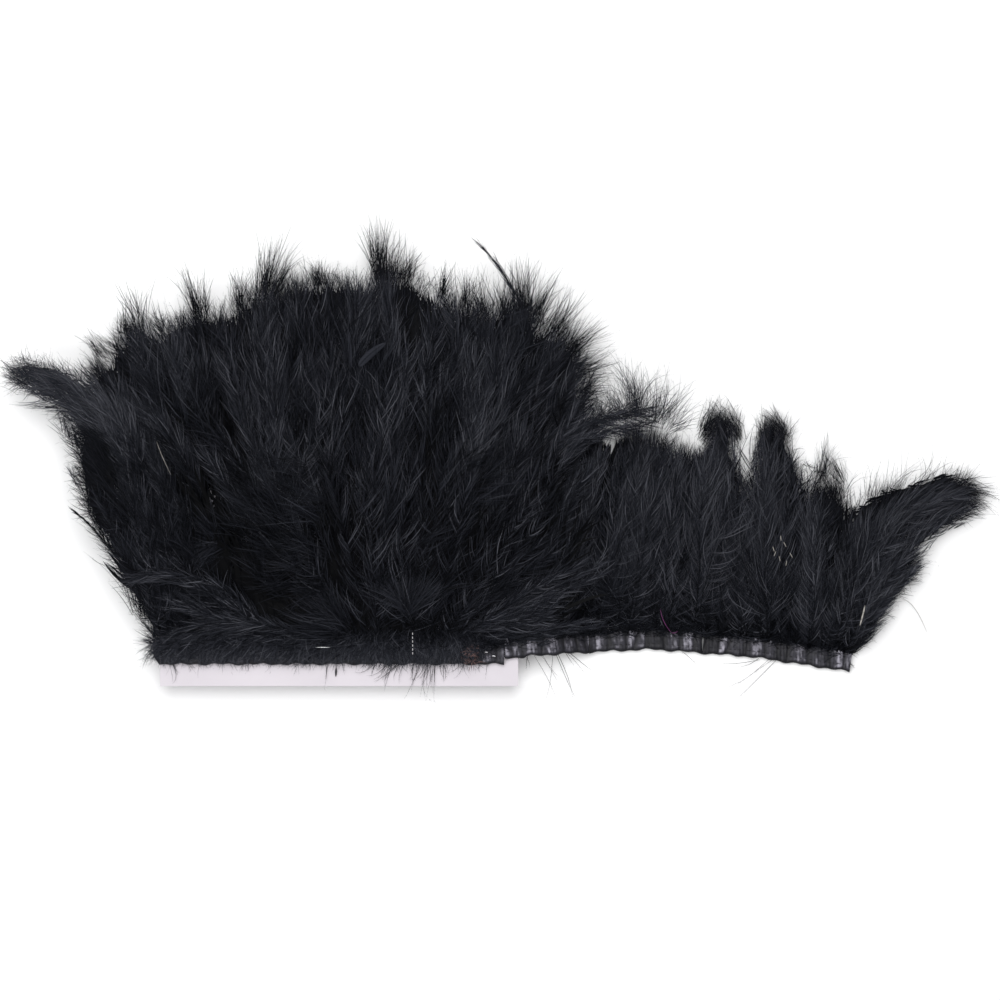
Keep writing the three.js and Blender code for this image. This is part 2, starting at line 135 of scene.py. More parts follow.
def new_material(name, roughness, specular):
    """A material with its shader, and the object coordinates that its patterns are measured in."""
    material = bpy.data.materials.new(name)
    material.use_nodes = True
    tree = material.node_tree
    shader = tree.nodes["Principled BSDF"]
    shader.inputs["Roughness"].default_value = roughness
    shader.inputs["Specular IOR Level"].default_value = specular
    place = tree.nodes.new("ShaderNodeTexCoord").outputs["Object"]
    return material, tree, shader, place


def noise(tree, place, scale, detail=3.0, stretch=(1, 1, 1)):
    mapping = tree.nodes.new("ShaderNodeMapping")
    mapping.inputs["Scale"].default_value = stretch
    tree.links.new(place, mapping.inputs["Vector"])
    texture = tree.nodes.new("ShaderNodeTexNoise")
    texture.inputs["Scale"].default_value = scale
    texture.inputs["Detail"].default_value = detail
    tree.links.new(mapping.outputs["Vector"], texture.inputs["Vector"])
    return texture.outputs["Fac"]


def ramp(tree, factor, stops):
    node = tree.nodes.new("ShaderNodeValToRGB")
    elements = node.color_ramp.elements
    while len(elements) < len(stops):
        elements.new(0.5)
    for element, (position, colour) in zip(elements, stops):
        element.position = position
        element.color = (*colour, 1.0)
    tree.links.new(factor, node.inputs["Fac"])
    return node.outputs["Color"]


def two_tone(tree, factor, dark, light):
    return ramp(tree, factor, [(NOISE_LOW, dark), (NOISE_HIGH, light)])


def spread(tree, factor, low, high):
    """The factor's middle range stretched from low to high."""
    node = tree.nodes.new("ShaderNodeMapRange")
    limits = {"From Min": NOISE_LOW, "From Max": NOISE_HIGH, "To Min": low, "To Max": high}
    for socket, value in limits.items():
        node.inputs[socket].default_value = value
    tree.links.new(factor, node.inputs["Value"])
    return node.outputs["Result"]


def bump(tree, shader, height, strength, distance):
    node = tree.nodes.new("ShaderNodeBump")
    node.inputs["Strength"].default_value = strength
    node.inputs["Distance"].default_value = distance
    tree.links.new(height, node.inputs["Height"])
    tree.links.new(node.outputs["Normal"], shader.inputs["Normal"])


def multiply(tree, first, second):
    node = tree.nodes.new("ShaderNodeMath")
    node.operation = "MULTIPLY"
    tree.links.new(first, node.inputs[0])
    tree.links.new(second, node.inputs[1])
    return node.outputs[0]


def attribute(tree, name):
    node = tree.nodes.new("ShaderNodeAttribute")
    node.attribute_name = name
    return node.outputs["Fac"]


def paint(tree, shader, colour, wear):
    tree.links.new(colour, shader.inputs["Base Color"])
    tree.links.new(wear, shader.inputs["Roughness"])


def floor_material():
    material, tree, shader, place = new_material("floor_paper", 0.9, 0.1)
    colour = two_tone(tree, noise(tree, place, 1.5), (0.90, 0.90, 0.905), (0.92, 0.92, 0.925))
    tree.links.new(colour, shader.inputs["Base Color"])
    return material


def feather_material():
    """Black dyed down: each strand has its own tint, and tips are a little greyer than roots. The tint also
    carries painted shade, darker deep in a row and at the base of each vane, and a painted highlight on some
    strands.
    """
    material, tree, shader, place = new_material("feather_down", 0.5, 0.05)
    stops = [
        (0.0, (0.0003, 0.0004, 0.0008)),
        (0.3, (0.0023, 0.0027, 0.0042)),
        (0.55, (0.0096, 0.0106, 0.0148)),
        (0.8, (0.0255, 0.0272, 0.0350)),
        (1.0, (0.0680, 0.0700, 0.0830)),
    ]
    colour = ramp(tree, attribute(tree, "tint"), stops)
    paint(tree, shader, colour, spread(tree, noise(tree, place, 60.0), 0.45, 0.65))
    return material


def satin_material():
    """Black satin with fine yarns across it and a soft shine. Its charcoal colour is painted light and shade
    from the shade attribute: a painted highlight on each puff, and painted shade in the creases and at the
    fold.
    """
    material, tree, shader, place = new_material("black_satin", 0.42, 0.22)
    streaks = spread(tree, noise(tree, place, 420.0, 4.0, (1, 0.3, 1)), 0.55, 1.15)
    blotches = spread(tree, noise(tree, place, 330.0, 3.0, (1, 0.75, 1)), 0.45, 1.35)
    # painted light: the puffs' painted highlight and shade, broken up by streaks and blotches
    painted_light = multiply(tree, multiply(tree, attribute(tree, "shade"), streaks), blotches)
    stops = [(0.0, (0.004, 0.004, 0.006)), (0.35, (0.036, 0.035, 0.045)), (1.0, (0.31, 0.30, 0.35))]
    paint(tree, shader, ramp(tree, painted_light, stops), spread(tree, noise(tree, place, 90.0), 0.33, 0.5))
    bump(tree, shader, noise(tree, place, 2600.0, 2.0, (1, 0.12, 1)), 0.25, 0.00008)
    return material


def card_material():
    """Coated card: nearly white with a trace of lavender, and faint fibres under the coating."""
    material, tree, shader, place = new_material("white_card", 0.6, 0.3)
    colour = two_tone(tree, noise(tree, place, 35.0), (0.590, 0.555, 0.595), (0.630, 0.595, 0.635))
    paint(tree, shader, colour, spread(tree, noise(tree, place, 400.0), 0.55, 0.68))
    bump(tree, shader, noise(tree, place, 900.0, 5.0), 0.12, 0.0001)
    return material


def plain_material(name, dark, light, roughness, specular, scale, metallic=0.0):
    """Mottled from dark to light, with patches worn smoother or rougher."""
    material, tree, shader, place = new_material(name, roughness, specular)
    shader.inputs["Metallic"].default_value = metallic
    colour = two_tone(tree, noise(tree, place, scale), dark, light)
    wear = spread(tree, noise(tree, place, scale * 2), roughness * 0.8, roughness * 1.2)
    paint(tree, shader, colour, wear)
    return material


add_camera()
add_studio()
FEATHER = feather_material()
SATIN = satin_material()
CARD = card_material()
QUILL = plain_material("quill_horn", (0.006, 0.006, 0.008), (0.02, 0.019, 0.024), 0.45, 0.5, 300)
THREAD = plain_material("black_thread", (0.004, 0.004, 0.005), (0.012, 0.011, 0.014), 0.7, 0.3, 900)
PALE_THREAD = plain_material("pale_thread", (0.5, 0.49, 0.52), (0.7, 0.69, 0.72), 0.7, 0.3, 900)
MAGENTA_THREAD = plain_material("magenta_thread", (0.10, 0.02, 0.09), (0.2, 0.05, 0.17), 0.7, 0.3, 900)
BROWN_DOWN = plain_material("brown_down", (0.06, 0.034, 0.032), (0.19, 0.12, 0.115), 0.7, 0.1, 700)
PALE_QUILL = plain_material("pale_quill", (0.2, 0.185, 0.17), (0.42, 0.40, 0.37), 0.45, 0.4, 500)
STEEL = plain_material("staple_steel", (0.55, 0.56, 0.58), (0.75, 0.76, 0.78), 0.28, 0.5, 500, 1.0)

# Meshes


def new_object(name, data, material):
    piece = bpy.data.objects.new(name, data)
    bpy.context.scene.collection.objects.link(piece)
    data.materials.append(material)
    return piece


def mesh_from(name, points, corners, sizes, point_values):
    """A mesh from points in the card's frame, its faces' corners in one list, and each face's size."""
    mesh = bpy.data.meshes.new(name)
    mesh.vertices.add(len(points))
    mesh.vertices.foreach_set("co", to_frame(points).astype(np.float32).ravel())
    mesh.loops.add(len(corners))
    mesh.loops.foreach_set("vertex_index", corners.astype(np.int32))
    mesh.polygons.add(len(sizes))
    starts = np.concatenate([[0], np.cumsum(sizes)[:-1]])
    mesh.polygons.foreach_set("loop_start", starts.astype(np.int32))
    mesh.update(calc_edges=True)
    mesh.polygons.foreach_set("use_smooth", np.ones(len(sizes), bool))
    for label, values in point_values.items():
        mesh.attributes.new(label, "FLOAT", "POINT").data.foreach_set("value", values.astype(np.float32))
    return mesh


def grid_corners(n, m):
    """The corners of the faces between n rows of m points, one face to a row."""
    i, j = np.meshgrid(np.arange(n - 1), np.arange(m - 1), indexing="ij")
    a = (i * m + j).ravel()
    return np.stack([a, a + 1, a + m + 1, a + m], 1)


def unit(vectors):
    return vectors / np.maximum(np.linalg.norm(vectors, axis=-1, keepdims=True), 1e-9)


UP = np.array([0.0, 0.0, 1.0])
TABLE_GAP = 0.15  # no strand comes nearer to the table


def side_and_top(paths):
    """Directions across and on top of paths (n, k, 3), square to them."""
    along = unit(np.gradient(paths, axis=1))
    across = unit(np.cross(along, UP) + 1e-6)
    return across, np.cross(across, along)


class Plumage:
    """Strands and tubes gathered into one mesh."""

    def __init__(self):
        self.points, self.corners, self.sizes, self.tint = [], [], [], []
        self.count = 0

    def add(self, points, corners, sizes, tint):
        self.points.append(points.reshape(-1, 3))
        self.corners.append((corners + self.count).ravel())
        self.sizes.append(sizes)
        self.tint.append(tint.ravel())
        self.count += len(self.points[-1])

    def strands(self, paths, width, roll, tint):
        """Flat tapered strands along paths (n, k, 3). width is (n, 1) and roll (n,) turns them over."""
        n, k = paths.shape[:2]
        width = width * STRAND_TAPER
        across, top = side_and_top(paths)
        turn = roll[:, None, None]
        across = (across * np.cos(turn) + top * np.sin(turn)) * width[..., None] / 2
        pairs = np.stack([paths - across, paths + across], 2)[:, :-1].reshape(n, -1, 3)
        points = np.concatenate([pairs, paths[:, -1:]], 1)
        quads = np.array([[2 * i, 2 * i + 1, 2 * i + 3, 2 * i + 2] for i in range(k - 2)]).ravel()
        corners = np.concatenate([quads, [2 * k - 4, 2 * k - 3, 2 * k - 2]])
        starts = np.arange(n)[:, None] * (2 * k - 1)
        sizes = np.tile(np.array([4] * (k - 2) + [3]), n)
        shade = np.repeat(np.broadcast_to(tint, (n, k)), 2, 1)[:, 1:]
        self.add(points, starts + corners[None], sizes, shade)

    def tubes(self, paths, width, tint=0.5, sides=6):
        """Closed tapered tubes along paths (n, k, 3), such as shafts."""
        n, k = paths.shape[:2]
        width = np.broadcast_to(width, (n, k))
        across, top = side_and_top(paths)
        angles = np.arange(sides) * 2 * np.pi / sides
        ring = across[:, :, None] * np.cos(angles)[:, None] + top[:, :, None] * np.sin(angles)[:, None]
        points = paths[:, :, None] + ring * width[..., None, None] / 2
        across_wall = [(j, (j + 1) % sides) for j in range(sides)]
        walls = [[i * sides + a, i * sides + b, (i + 1) * sides + b, (i + 1) * sides + a]
                 for i in range(k - 1) for a, b in across_wall]
        caps = [list(range(sides))[::-1], [(k - 1) * sides + j for j in range(sides)]]
        corners = np.array([c for face in walls + caps for c in face])
        sizes = np.tile(np.array([4] * len(walls) + [sides] * 2), n)
        starts = np.arange(n)[:, None] * (k * sides)
        self.add(points, starts + corners[None], sizes, np.full(n * k * sides, tint))

    def piece(self, name, material, slot):
        points = np.concatenate(self.points)
        points[:, 2] = np.maximum(points[:, 2], TABLE_GAP)
        values = {"tint": np.clip(np.concatenate(self.tint), 0, 1)}
        mesh = mesh_from(name, points, np.concatenate(self.corners), np.concatenate(self.sizes), values)
        return new_object(name, mesh, material)


# The header's line, read from the CAD nodes

HEADER_WIDTH = 12.7
HEADER_DEPTH = 2.4


def folded_edge(node):
    """The lower edge of a header node: points (x, y, lowest z) from left to right."""
    corners = np.array([v.co for v in frame["nodes"][node].data.vertices], float)
    corners = (corners - CARD_ORIGIN) / MM
    left = corners[np.argmin(corners[:, 0] + corners[:, 1])][:2]
    right = corners[np.argmax(corners[:, 0] - corners[:, 1])][:2]
    run = (right - left) / np.linalg.norm(right - left)
    offset = (corners[:, :2] - left) @ np.array([-run[1], run[0]])
    edge = corners[np.abs(offset) < 0.2]
    places = np.unique(np.round(edge[:, 0], 1))
    found = [edge[np.abs(edge[:, 0] - x) < 0.15] for x in places]
    return np.array([[e[:, 0].mean(), e[:, 1].mean(), e[:, 2].min()] for e in found])


TAIL_NODES = ("tail_lead_header", "tail_1_header", "tail_2_header", "tail_3_header")
TAIL_EDGE = np.concatenate([folded_edge(node) for node in TAIL_NODES])
TAIL_START, TAIL_END = TAIL_EDGE[0, 0], TAIL_EDGE[-1, 0]


def tail_edge(x):
    return np.stack([x] + [np.interp(x, TAIL_EDGE[:, 0], TAIL_EDGE[:, axis]) for axis in (1, 2)], -1)


HINGES = [(np.array(j["pos_m"]) - CARD_ORIGIN) / MM for j in frame["record"]["behaviour"]["joints"]]
TAIL_SPLITS = [TAIL_START] + [(a[0] + b[0]) / 2 for a, b in zip(HINGES, HINGES[1:])] + [TAIL_END]


def bend_with_tail(piece):
    """Bakes the piece's placement into its mesh. The tail's part 0, 1 or 2 crosses the fold line of that
    number.
    """
    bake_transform(piece)


# Gathered satin

SEAMS = (4.0, 8.5)  # the two lines of stitches, from the folded edge
CREASE_GAP = (5.0, 15.0)
PAINTED_SHEENS = (0.15, 0.45, 0.8, 1.0)  # painted highlight on each puff, as if it faced the light more or less
WRINKLES = 5


class Puckers:
    """A gathered leaf: soft puffs of uneven width between deep creases, wrinkled all over. Each puff gets a
    painted highlight of its own strength, and the creases painted shade.
    """

    def __init__(self, length, size):
        gaps = rng.uniform(*CREASE_GAP, int(length / CREASE_GAP[0]) + 8)
        self.creases = np.cumsum(gaps) - 12
        self.slant = rng.normal(0, 0.12, len(gaps))
        self.heights = rng.uniform(0.4, 1.1, len(gaps)) * size
        self.painted_sheen = rng.choice(PAINTED_SHEENS, len(gaps)) * rng.uniform(0.8, 1.1, len(gaps))
        self.painted_light = rng.uniform(0.2, 0.8, len(gaps))  # where across a puff the painted highlight falls
        self.pitch = rng.uniform(1.2, 4.5, WRINKLES)
        self.phase = rng.uniform(0, 6, WRINKLES)

    def parts(self, s, v):
        """Which puff a point is on, how high that puff stands there, and how much painted highlight it gets.
        """
        lines = self.creases + self.slant * (v[..., None] - 6)
        i = np.clip((lines < s[..., None]).sum(-1), 1, len(self.creases) - 1)
        left = np.take_along_axis(lines, i[..., None] - 1, -1)[..., 0]
        right = np.take_along_axis(lines, i[..., None], -1)[..., 0]
        share = np.clip((s - left) / (right - left), 0, 1)
        return i, np.sin(np.pi * share) ** 0.5, np.exp(-(((share - self.painted_light[i]) / 0.42) ** 2))

    def wrinkles(self, s, v):
        waves = [np.sin(s * f + self.phase[n] + 0.25 * n * v) for n, f in enumerate(self.pitch)]
        return sum(waves) / WRINKLES

    def height(self, s, v):
        i, puff = self.parts(s, v)[:2]
        held = 1 - 0.3 * sum(np.exp(-(((v - seam) / 0.8) ** 2)) for seam in SEAMS)
        return self.heights[i] * puff * held + 0.4 * self.wrinkles(s, v) * (0.3 + puff)

    def shade(self, s, v):
        # painted light and shade: a highlight on each puff that fades into the creases, and darker towards
        # the folded edge
        i, puff, painted_light = self.parts(s, v)
        painted_fold_shade = np.clip((v - 0.6) / 1.8, 0.05, 1)
        painted_puff_light = self.painted_sheen[i] * puff * (0.35 + 0.8 * painted_light) * (0.85 + 0.5 * self.wrinkles(s, v))
        return np.clip(painted_puff_light * painted_fold_shade, 0, 1)

    def edge(self, s):
        return 0.8 * np.sin(s * 0.42 + self.phase[0]) * np.sin(s * 0.17 + self.phase[1])


LEAF_ROWS = 9
FOLD_ROWS = 5
FOLD_RADIUS = 0.9
LEAF_LOW, LEAF_HIGH = 0.35, HEADER_DEPTH - 0.2  # the two leaves, above the header's underside
CLOTH = 0.00012
STITCH_PITCH, STITCH_HALF, STITCH_WIDTH = 3.1, 1.15, 0.34
QUILL_PITCH = 2.4


def add_satin(name, nodes, length, place, puckers, spacing, painted_sheen, offset=0.0):
    """A folded, gathered ribbon. place(s, v, w) puts a point s along the header, v across it from the folded
    edge and w up from the leaf underneath. The painted highlight is dimmer where the stops (s, share) given
    after spacing say so, and offset is how far along the puckers the piece starts."""
    s = np.linspace(0, length, max(int(length / spacing), 12))
    leaf = np.linspace(HEADER_WIDTH, FOLD_RADIUS, LEAF_ROWS)
    turn = np.linspace(-np.pi / 2, np.pi / 2, FOLD_ROWS + 2)[1:-1]
    v = np.concatenate([leaf, FOLD_RADIUS - FOLD_RADIUS * np.cos(turn), leaf[::-1]])
    fold = (LEAF_LOW + LEAF_HIGH) / 2 + (LEAF_HIGH - LEAF_LOW) / 2 * np.sin(turn)
    w = np.concatenate([np.full(LEAF_ROWS, LEAF_LOW), fold, np.full(LEAF_ROWS, LEAF_HIGH)])
    puff = np.concatenate([np.full(LEAF_ROWS, -0.06), np.linspace(0, 0.7, FOLD_ROWS), np.ones(LEAF_ROWS)])
    grid_s, grid_v = np.meshgrid(s, v, indexing="ij")
    lift = puckers.height(grid_s + offset, grid_v) * puff
    ruffle = puckers.edge(grid_s + offset) * np.exp(-grid_v / 5)
    points = place(grid_s, grid_v + ruffle, w + lift)
    # painted light: the puffs' painted highlight, none on the leaf underneath, less round the fold, and
    # dimmed along s by the given stops
    shade = puckers.shade(grid_s + offset, grid_v) * np.clip(puff, 0, 1) * follow(painted_sheen, grid_s)
    corners = grid_corners(*grid_s.shape)
    values = {"shade": shade.ravel()}
    mesh = mesh_from(name, points.reshape(-1, 3), corners.ravel(), np.full(len(corners), 4), values)
    piece = new_object(name, mesh, SATIN)
    thick = piece.modifiers.new("cloth", "SOLIDIFY")
    thick.thickness = CLOTH
    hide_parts(*nodes)
    return piece


def add_stitches(name, nodes, length, place, puckers, offset):
    """Two lines of separate stitches that dip into the cloth at both ends."""
    out = Plumage()
    t = np.linspace(-1, 1, 5)
    for seam in SEAMS:
        middles = np.arange(2.0, length - 2.0, STITCH_PITCH)
        middles = (middles + rng.uniform(-0.15, 0.15, len(middles)))[:, None]
        v = seam + rng.normal(0, 0.08, middles.shape) * np.ones(5)
        puff = puckers.height(middles * np.ones(5) + offset, v)
        w = LEAF_HIGH + puff + 0.28 * (1 - 1.6 * t**2)
        out.tubes(place(middles + STITCH_HALF * t, v, w), STITCH_WIDTH)
    piece = out.piece(name, THREAD, "thread")
    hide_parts(*nodes)
    return piece


def add_quill_ends(name, nodes, length, place):
    """The crushed quill ends between the leaves."""
    out = Plumage()
    s = np.arange(1.5, length - 1.5, QUILL_PITCH)[:, None]
    s = s + rng.normal(0, 0.3, s.shape)
    t = np.linspace(0, 1, 5)
    v = 2.2 + 10.3 * t + np.zeros(s.shape)
    paths = place(s + rng.normal(0, 1.1, s.shape) * (1 - t), v, np.full(v.shape, HEADER_DEPTH / 2))
    out.tubes(paths, 0.75 + 0.25 * np.sin(np.pi * t))
    piece = out.piece(name, QUILL, "quill")
    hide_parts(*nodes)
    return piece


def straight_place(edge, face_down=False):
    """Places points along a header's folded edge, which is a polyline (x, y, z). face_down puts the puckered
    leaf towards the table."""
    run = np.concatenate([[0], np.cumsum(np.linalg.norm(np.diff(edge, axis=0), axis=1))])
    slope = (edge[-1, :2] - edge[0, :2]) / np.linalg.norm(edge[-1, :2] - edge[0, :2])

    def place(s, v, w):
        x, y, z = (np.interp(s, run, edge[:, i]) for i in range(3))
        up = HEADER_DEPTH - w if face_down else w
        return np.stack([x - slope[1] * v, y + slope[0] * v, z + up], -1)

    return place, run[-1]


TURN_PINCH = 4.5  # how far the ribbon's lower edge draws up as it goes round the card
TURN_PRESS = 0.9  # share of its thickness that the ribbon keeps where it is pulled round the card


def turn_place(node, side):
    """Places points round a side edge of the card, from its back to its face."""
    low, high = node_box(node)
    outer = (high[2] - low[2]) / 2
    centre = (high[2] + low[2]) / 2
    middle = low[0] if side > 0 else high[0]
    length = math.pi * (outer - HEADER_DEPTH / 2)

    def place(s, v, w):
        angle = np.pi * (s / length - 0.5)
        radius = outer - HEADER_DEPTH + TURN_PRESS * w
        y = low[1] + v + TURN_PINCH * np.cos(angle) * (1 - v / HEADER_WIDTH)
        return np.stack([middle + side * radius * np.cos(angle), y, centre + radius * np.sin(angle)], -1)

    return place, length


def add_header(label, nodes, edge, part=None, face_down=False, spacing=0.5, painted_sheen=((0, 1),),
               puckers=None, offset=0.0):
    """The satin, stitches and quill ends of one length of header. nodes are what the pieces stand for, and
    part is the part of the tail that it belongs to."""
    place, length = straight_place(edge, face_down)
    puckers = puckers or Puckers(length, 1.0)
    satin = add_satin(
        f"{label}_satin", nodes["header"], length, place, puckers, spacing, painted_sheen, offset
    )
    stitches = add_stitches(f"{label}_stitches", nodes["stitching"], length, place, puckers, offset)
    quills = add_quill_ends(f"{label}_quill_ends", nodes["quills"], length, place)
    for piece in (satin, stitches, quills):
        if part is None:
            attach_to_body(piece, "wound_card")
        else:
            bend_with_tail(piece)


def row_nodes(label):
    return {kind: [f"{label}_{kind}"] for kind in ("header", "stitching", "quills")}


def add_row_header(label, spacing=1.2, **changes):
    add_header(label, row_nodes(label), folded_edge(f"{label}_header"), spacing=spacing, **changes)


# Where each row of feathers lies


class Layer:
    """The space between the bottom and the top of a CAD feather solid, as heights along y."""

    def __init__(self, node, x):
        source = frame["nodes"][node].data
        tree = BVHTree.FromPolygons(
            [v.co for v in source.vertices], [list(p.vertices) for p in source.polygons]
        )
        low, high = node_box(node)
        found = []
        for y in np.linspace(low[1] + 0.5, high[1] - 0.5, 80):
            start = to_frame([x, y, 200.0])
            top = tree.ray_cast(Vector(start), Vector((0, 0, -1)))[0]
            start[2] = -0.1
            bottom = tree.ray_cast(Vector(start), Vector((0, 0, 1)))[0]
            if top is not None and bottom is not None:
                found.append((y, bottom.z / MM, top.z / MM))
        self.y, self.low, self.top = np.array(found).T

    def height(self, y, share):
        low = np.interp(y, self.y, self.low)
        top = np.interp(y, self.y, self.top)
        return low + share * (top - low)


def follow(stops, x):
    """A value that changes along x between given stops (x, value)."""
    places, values = np.array(stops, float).T
    return np.interp(x, places, values)


# Feathers

SHAFT_STEPS = 14
SHAFT_TINT = 0.3
STRAND_STEPS = 6
TUFT = 6  # barbs that lie together
FRAY = 60  # the most that a feather is shortened to end near its outline
SHAFT_SHARE = 0.86  # the barbs run on past the end of the shaft
LENGTH_PER_REACH = 1.07  # the very tip of a feather is too thin to count as its outline
STRAND_TAPER = np.array([0.8, 1.0, 0.95, 0.8, 0.5, 0.15])  # its width at each step
STRAND_SHADE = np.array([-0.22, -0.08, 0.02, 0.06, 0.08, 0.1])  # what each step adds to its tint


def shaft_paths(root, heading, bend, length, layer, share, hook):
    """Centre lines of feathers. heading is in degrees from the y axis, positive to the right, and bend is
    how much further the tip turns. The larger hook, the nearer to the tip it turns."""
    n = len(root)
    t = np.linspace(0, 1, SHAFT_STEPS)
    wave = rng.normal(0, 3.0, (n, 1)) * np.sin(2 * np.pi * t + rng.uniform(0, 6, (n, 1)))
    angle = np.radians(heading[:, None] + bend[:, None] * t**hook + wave)
    step = SHAFT_SHARE * length[:, None] / (SHAFT_STEPS - 1)
    start = np.zeros((n, 1))
    x = root[:, :1] + np.concatenate([start, np.cumsum(np.sin(angle) * step, 1)[:, :-1]], 1)
    y = root[:, 1:2] + np.concatenate([start, np.cumsum(np.cos(angle) * step, 1)[:, :-1]], 1)
    settle = np.minimum(1, t / 0.12)
    z = layer.height(y, share[:, None]) * settle + root[:, 2:] * (1 - settle)
    return np.stack([x, y, z], 2), angle


def along_shaft(values, u):
    """Values (n, steps, ...) read at places u (n, m), from 0 at the root to 1 at the tip."""
    at = np.clip(u, 0, 0.9999) * (SHAFT_STEPS - 1)
    i = at.astype(int)
    f = at - i
    rows = np.arange(len(values))[:, None]
    if values.ndim == 3:
        f = f[..., None]
    return values[rows, i] * (1 - f) + values[rows, i + 1] * f


def walk(base, heading, reach, rise=0.0):
    """Paths that set off from base and turn as they go. heading and rise hold an angle for each step."""
    rise = np.broadcast_to(rise, heading.shape)
    step = reach[..., None] / (STRAND_STEPS - 1)
    flat = np.cos(rise) * step
    moves = np.stack([np.sin(heading) * flat, np.cos(heading) * flat, np.sin(rise) * step], -1)
    start = np.zeros(moves.shape[:-2] + (1, 3))
    return base[..., None, :] + np.concatenate([start, np.cumsum(moves, -2)], -2)


def add_feathers(out, root, heading, bend, length, layer, share, style, shade=0.0):
    """Whole feathers: a shaft, barbs down both sides in tufts that lie together, and barbules on them."""
    n = len(root)
    if style["outline"]:  # end the feather near the outline
        turned = np.radians(heading + bend * np.linspace(0, 1, SHAFT_STEPS)[:, None] ** style["hook"])
        toward = np.stack([np.sin(turned).mean(0), np.cos(turned).mean(0)], 1)
        tip = root[:, :2] + 0.97 * length[:, None] * toward
        length = length - np.clip(outside(tip, style["outline"]) - style["spare"], 0, FRAY)
    shafts, angle = shaft_paths(root, heading, bend, length, layer, share, style["hook"])
    t = np.linspace(0, 1, SHAFT_STEPS)
    width = style["shaft"] * (1 - 0.92 * t) * np.ones((n, 1))
    out.tubes(shafts, width, SHAFT_TINT, sides=3)

    # Where each barb leaves the shaft, and which way the shaft runs there.
    tufts = style["tufts"]
    shape = (n, 2, tufts, TUFT)
    u = (np.arange(tufts)[None, None, :, None] + rng.uniform(0, 1, shape)) / tufts
    u = u ** style["crowd"]
    place = style["bare"] + (1 - style["bare"]) * u
    flat = place.reshape(n, -1)
    base = along_shaft(shafts, flat).reshape(*shape, 3)
    run = along_shaft(angle, flat).reshape(shape)
    side = np.array([-1.0, 1.0])[None, :, None, None]

    # How far it opens, how long it is, and how it curls and lifts. Barbs of a tuft do much the same.
    opening = np.radians(style["open"][0] * (1 - place) ** 1.5 + style["open"][1])
    opening = opening * rng.uniform(0.65, 1.15, (n, 1, 1, 1)) * (1 + rng.normal(0, 0.22, (n, 2, tufts, 1)))
    opening = opening + rng.normal(0, 0.1, shape)
    skew = rng.normal(0, style["skew"], (n, 1, 1, 1)) * (1 - place)
    reach = style["barb"] * (1 - 0.42 * place) * (1 - 0.3 * np.exp(-u / 0.08))
    reach = reach * rng.uniform(0.5, 1.2, shape) * (length / 160.0)[:, None, None, None]
    curl = style["curl"] * (rng.normal(0, 1, (n, 2, tufts, 1)) + rng.normal(0, 0.7, shape))
    rise = np.radians(rng.normal(style["rise"], 6, (n, 2, tufts, 1)) + rng.normal(0, 6, shape))

    # Its path, which turns back along the shaft and then clings to its tuft.
    s = np.linspace(0, 1, STRAND_STEPS)
    middle = (s[1:] + s[:-1]) / 2
    wave = 0.09 * np.sin(2 * np.pi * (middle * 1.2 + rng.uniform(0, 1, shape)[..., None]))
    turned = (run + skew)[..., None] + side[..., None] * opening[..., None] * (1 - style["sweep"] * middle)
    turned = turned + curl[..., None] * middle**2 + wave
    paths = walk(base, turned, reach, rise[..., None] * (1 - 1.6 * middle))
    cling = rng.uniform(0.0, style["cling"], (n, 2, tufts, 1, 1, 1)) * (s**2)[:, None]
    paths = paths * (1 - cling) + paths.mean(3, keepdims=True) * cling

    # Its width and tint: painted shade makes it darker deep in the row and at the base of the vane, and some
    # barbs get a painted highlight.
    paths = paths.reshape(-1, STRAND_STEPS, 3)
    painted_highlight = rng.uniform(0, 1, shape) < style["painted_highlight"]
    width = style["width"] * rng.uniform(0.6, 1.4, shape) * (1 + 0.5 * painted_highlight)
    whole = np.broadcast_to(np.asarray(shade), (n,)) + (share - 0.5) * style["depth"]
    tint = style["tint"] + whole[:, None, None, None] + rng.normal(0, 0.05, (n, 2, tufts, 1))
    tint = tint + rng.normal(0, 0.15, shape) + 0.28 * painted_highlight - 0.2 * np.exp(-u / 0.12)
    tint = tint.reshape(-1, 1) + STRAND_SHADE
    width = width.reshape(-1, 1)
    if style["outline"]:  # drop barbs that reach far past the outline
        over = np.clip(outside(paths[:, -1, :2], style["outline"]), 0, None)
        kept = rng.uniform(0, 1, len(paths)) < np.exp(-((over / style["spare"]) ** 2))
        paths, tint, width = paths[kept], tint[kept], width[kept]
    out.strands(paths, width, rng.normal(0, 0.7, len(paths)), tint)
    if style["fuzz"]:
        add_barbules(out, paths, tint, style["fuzz"])


def add_barbules(out, paths, tint, fuzz):
    """Short fine hairs that stand off each barb."""
    n = len(paths)
    at = rng.uniform(0.1, 0.98, (n, fuzz)) * (STRAND_STEPS - 1)
    i = np.minimum(at.astype(int), STRAND_STEPS - 2)
    f = (at - i)[..., None]
    rows = np.arange(n)[:, None]
    start = paths[rows, i] * (1 - f) + paths[rows, i + 1] * f
    along = unit(paths[rows, i + 1] - paths[rows, i])
    direction = unit(along * 1.1 + unit(rng.normal(0, 1, start.shape) * np.array([1, 1, 0.5])))
    tips = start + direction * rng.uniform(0.9, 3.0, (n, fuzz, 1))
    across = unit(np.cross(direction, rng.normal(0, 1, start.shape) + np.array([0, 0, 1.2]))) * 0.05
    points = np.stack([start - across, start + across, tips], 2).reshape(-1, 3)
    out.add(points, np.arange(len(points)), np.full(n * fuzz, 3), np.repeat(tint[:, 2:3], fuzz * 3, 1))


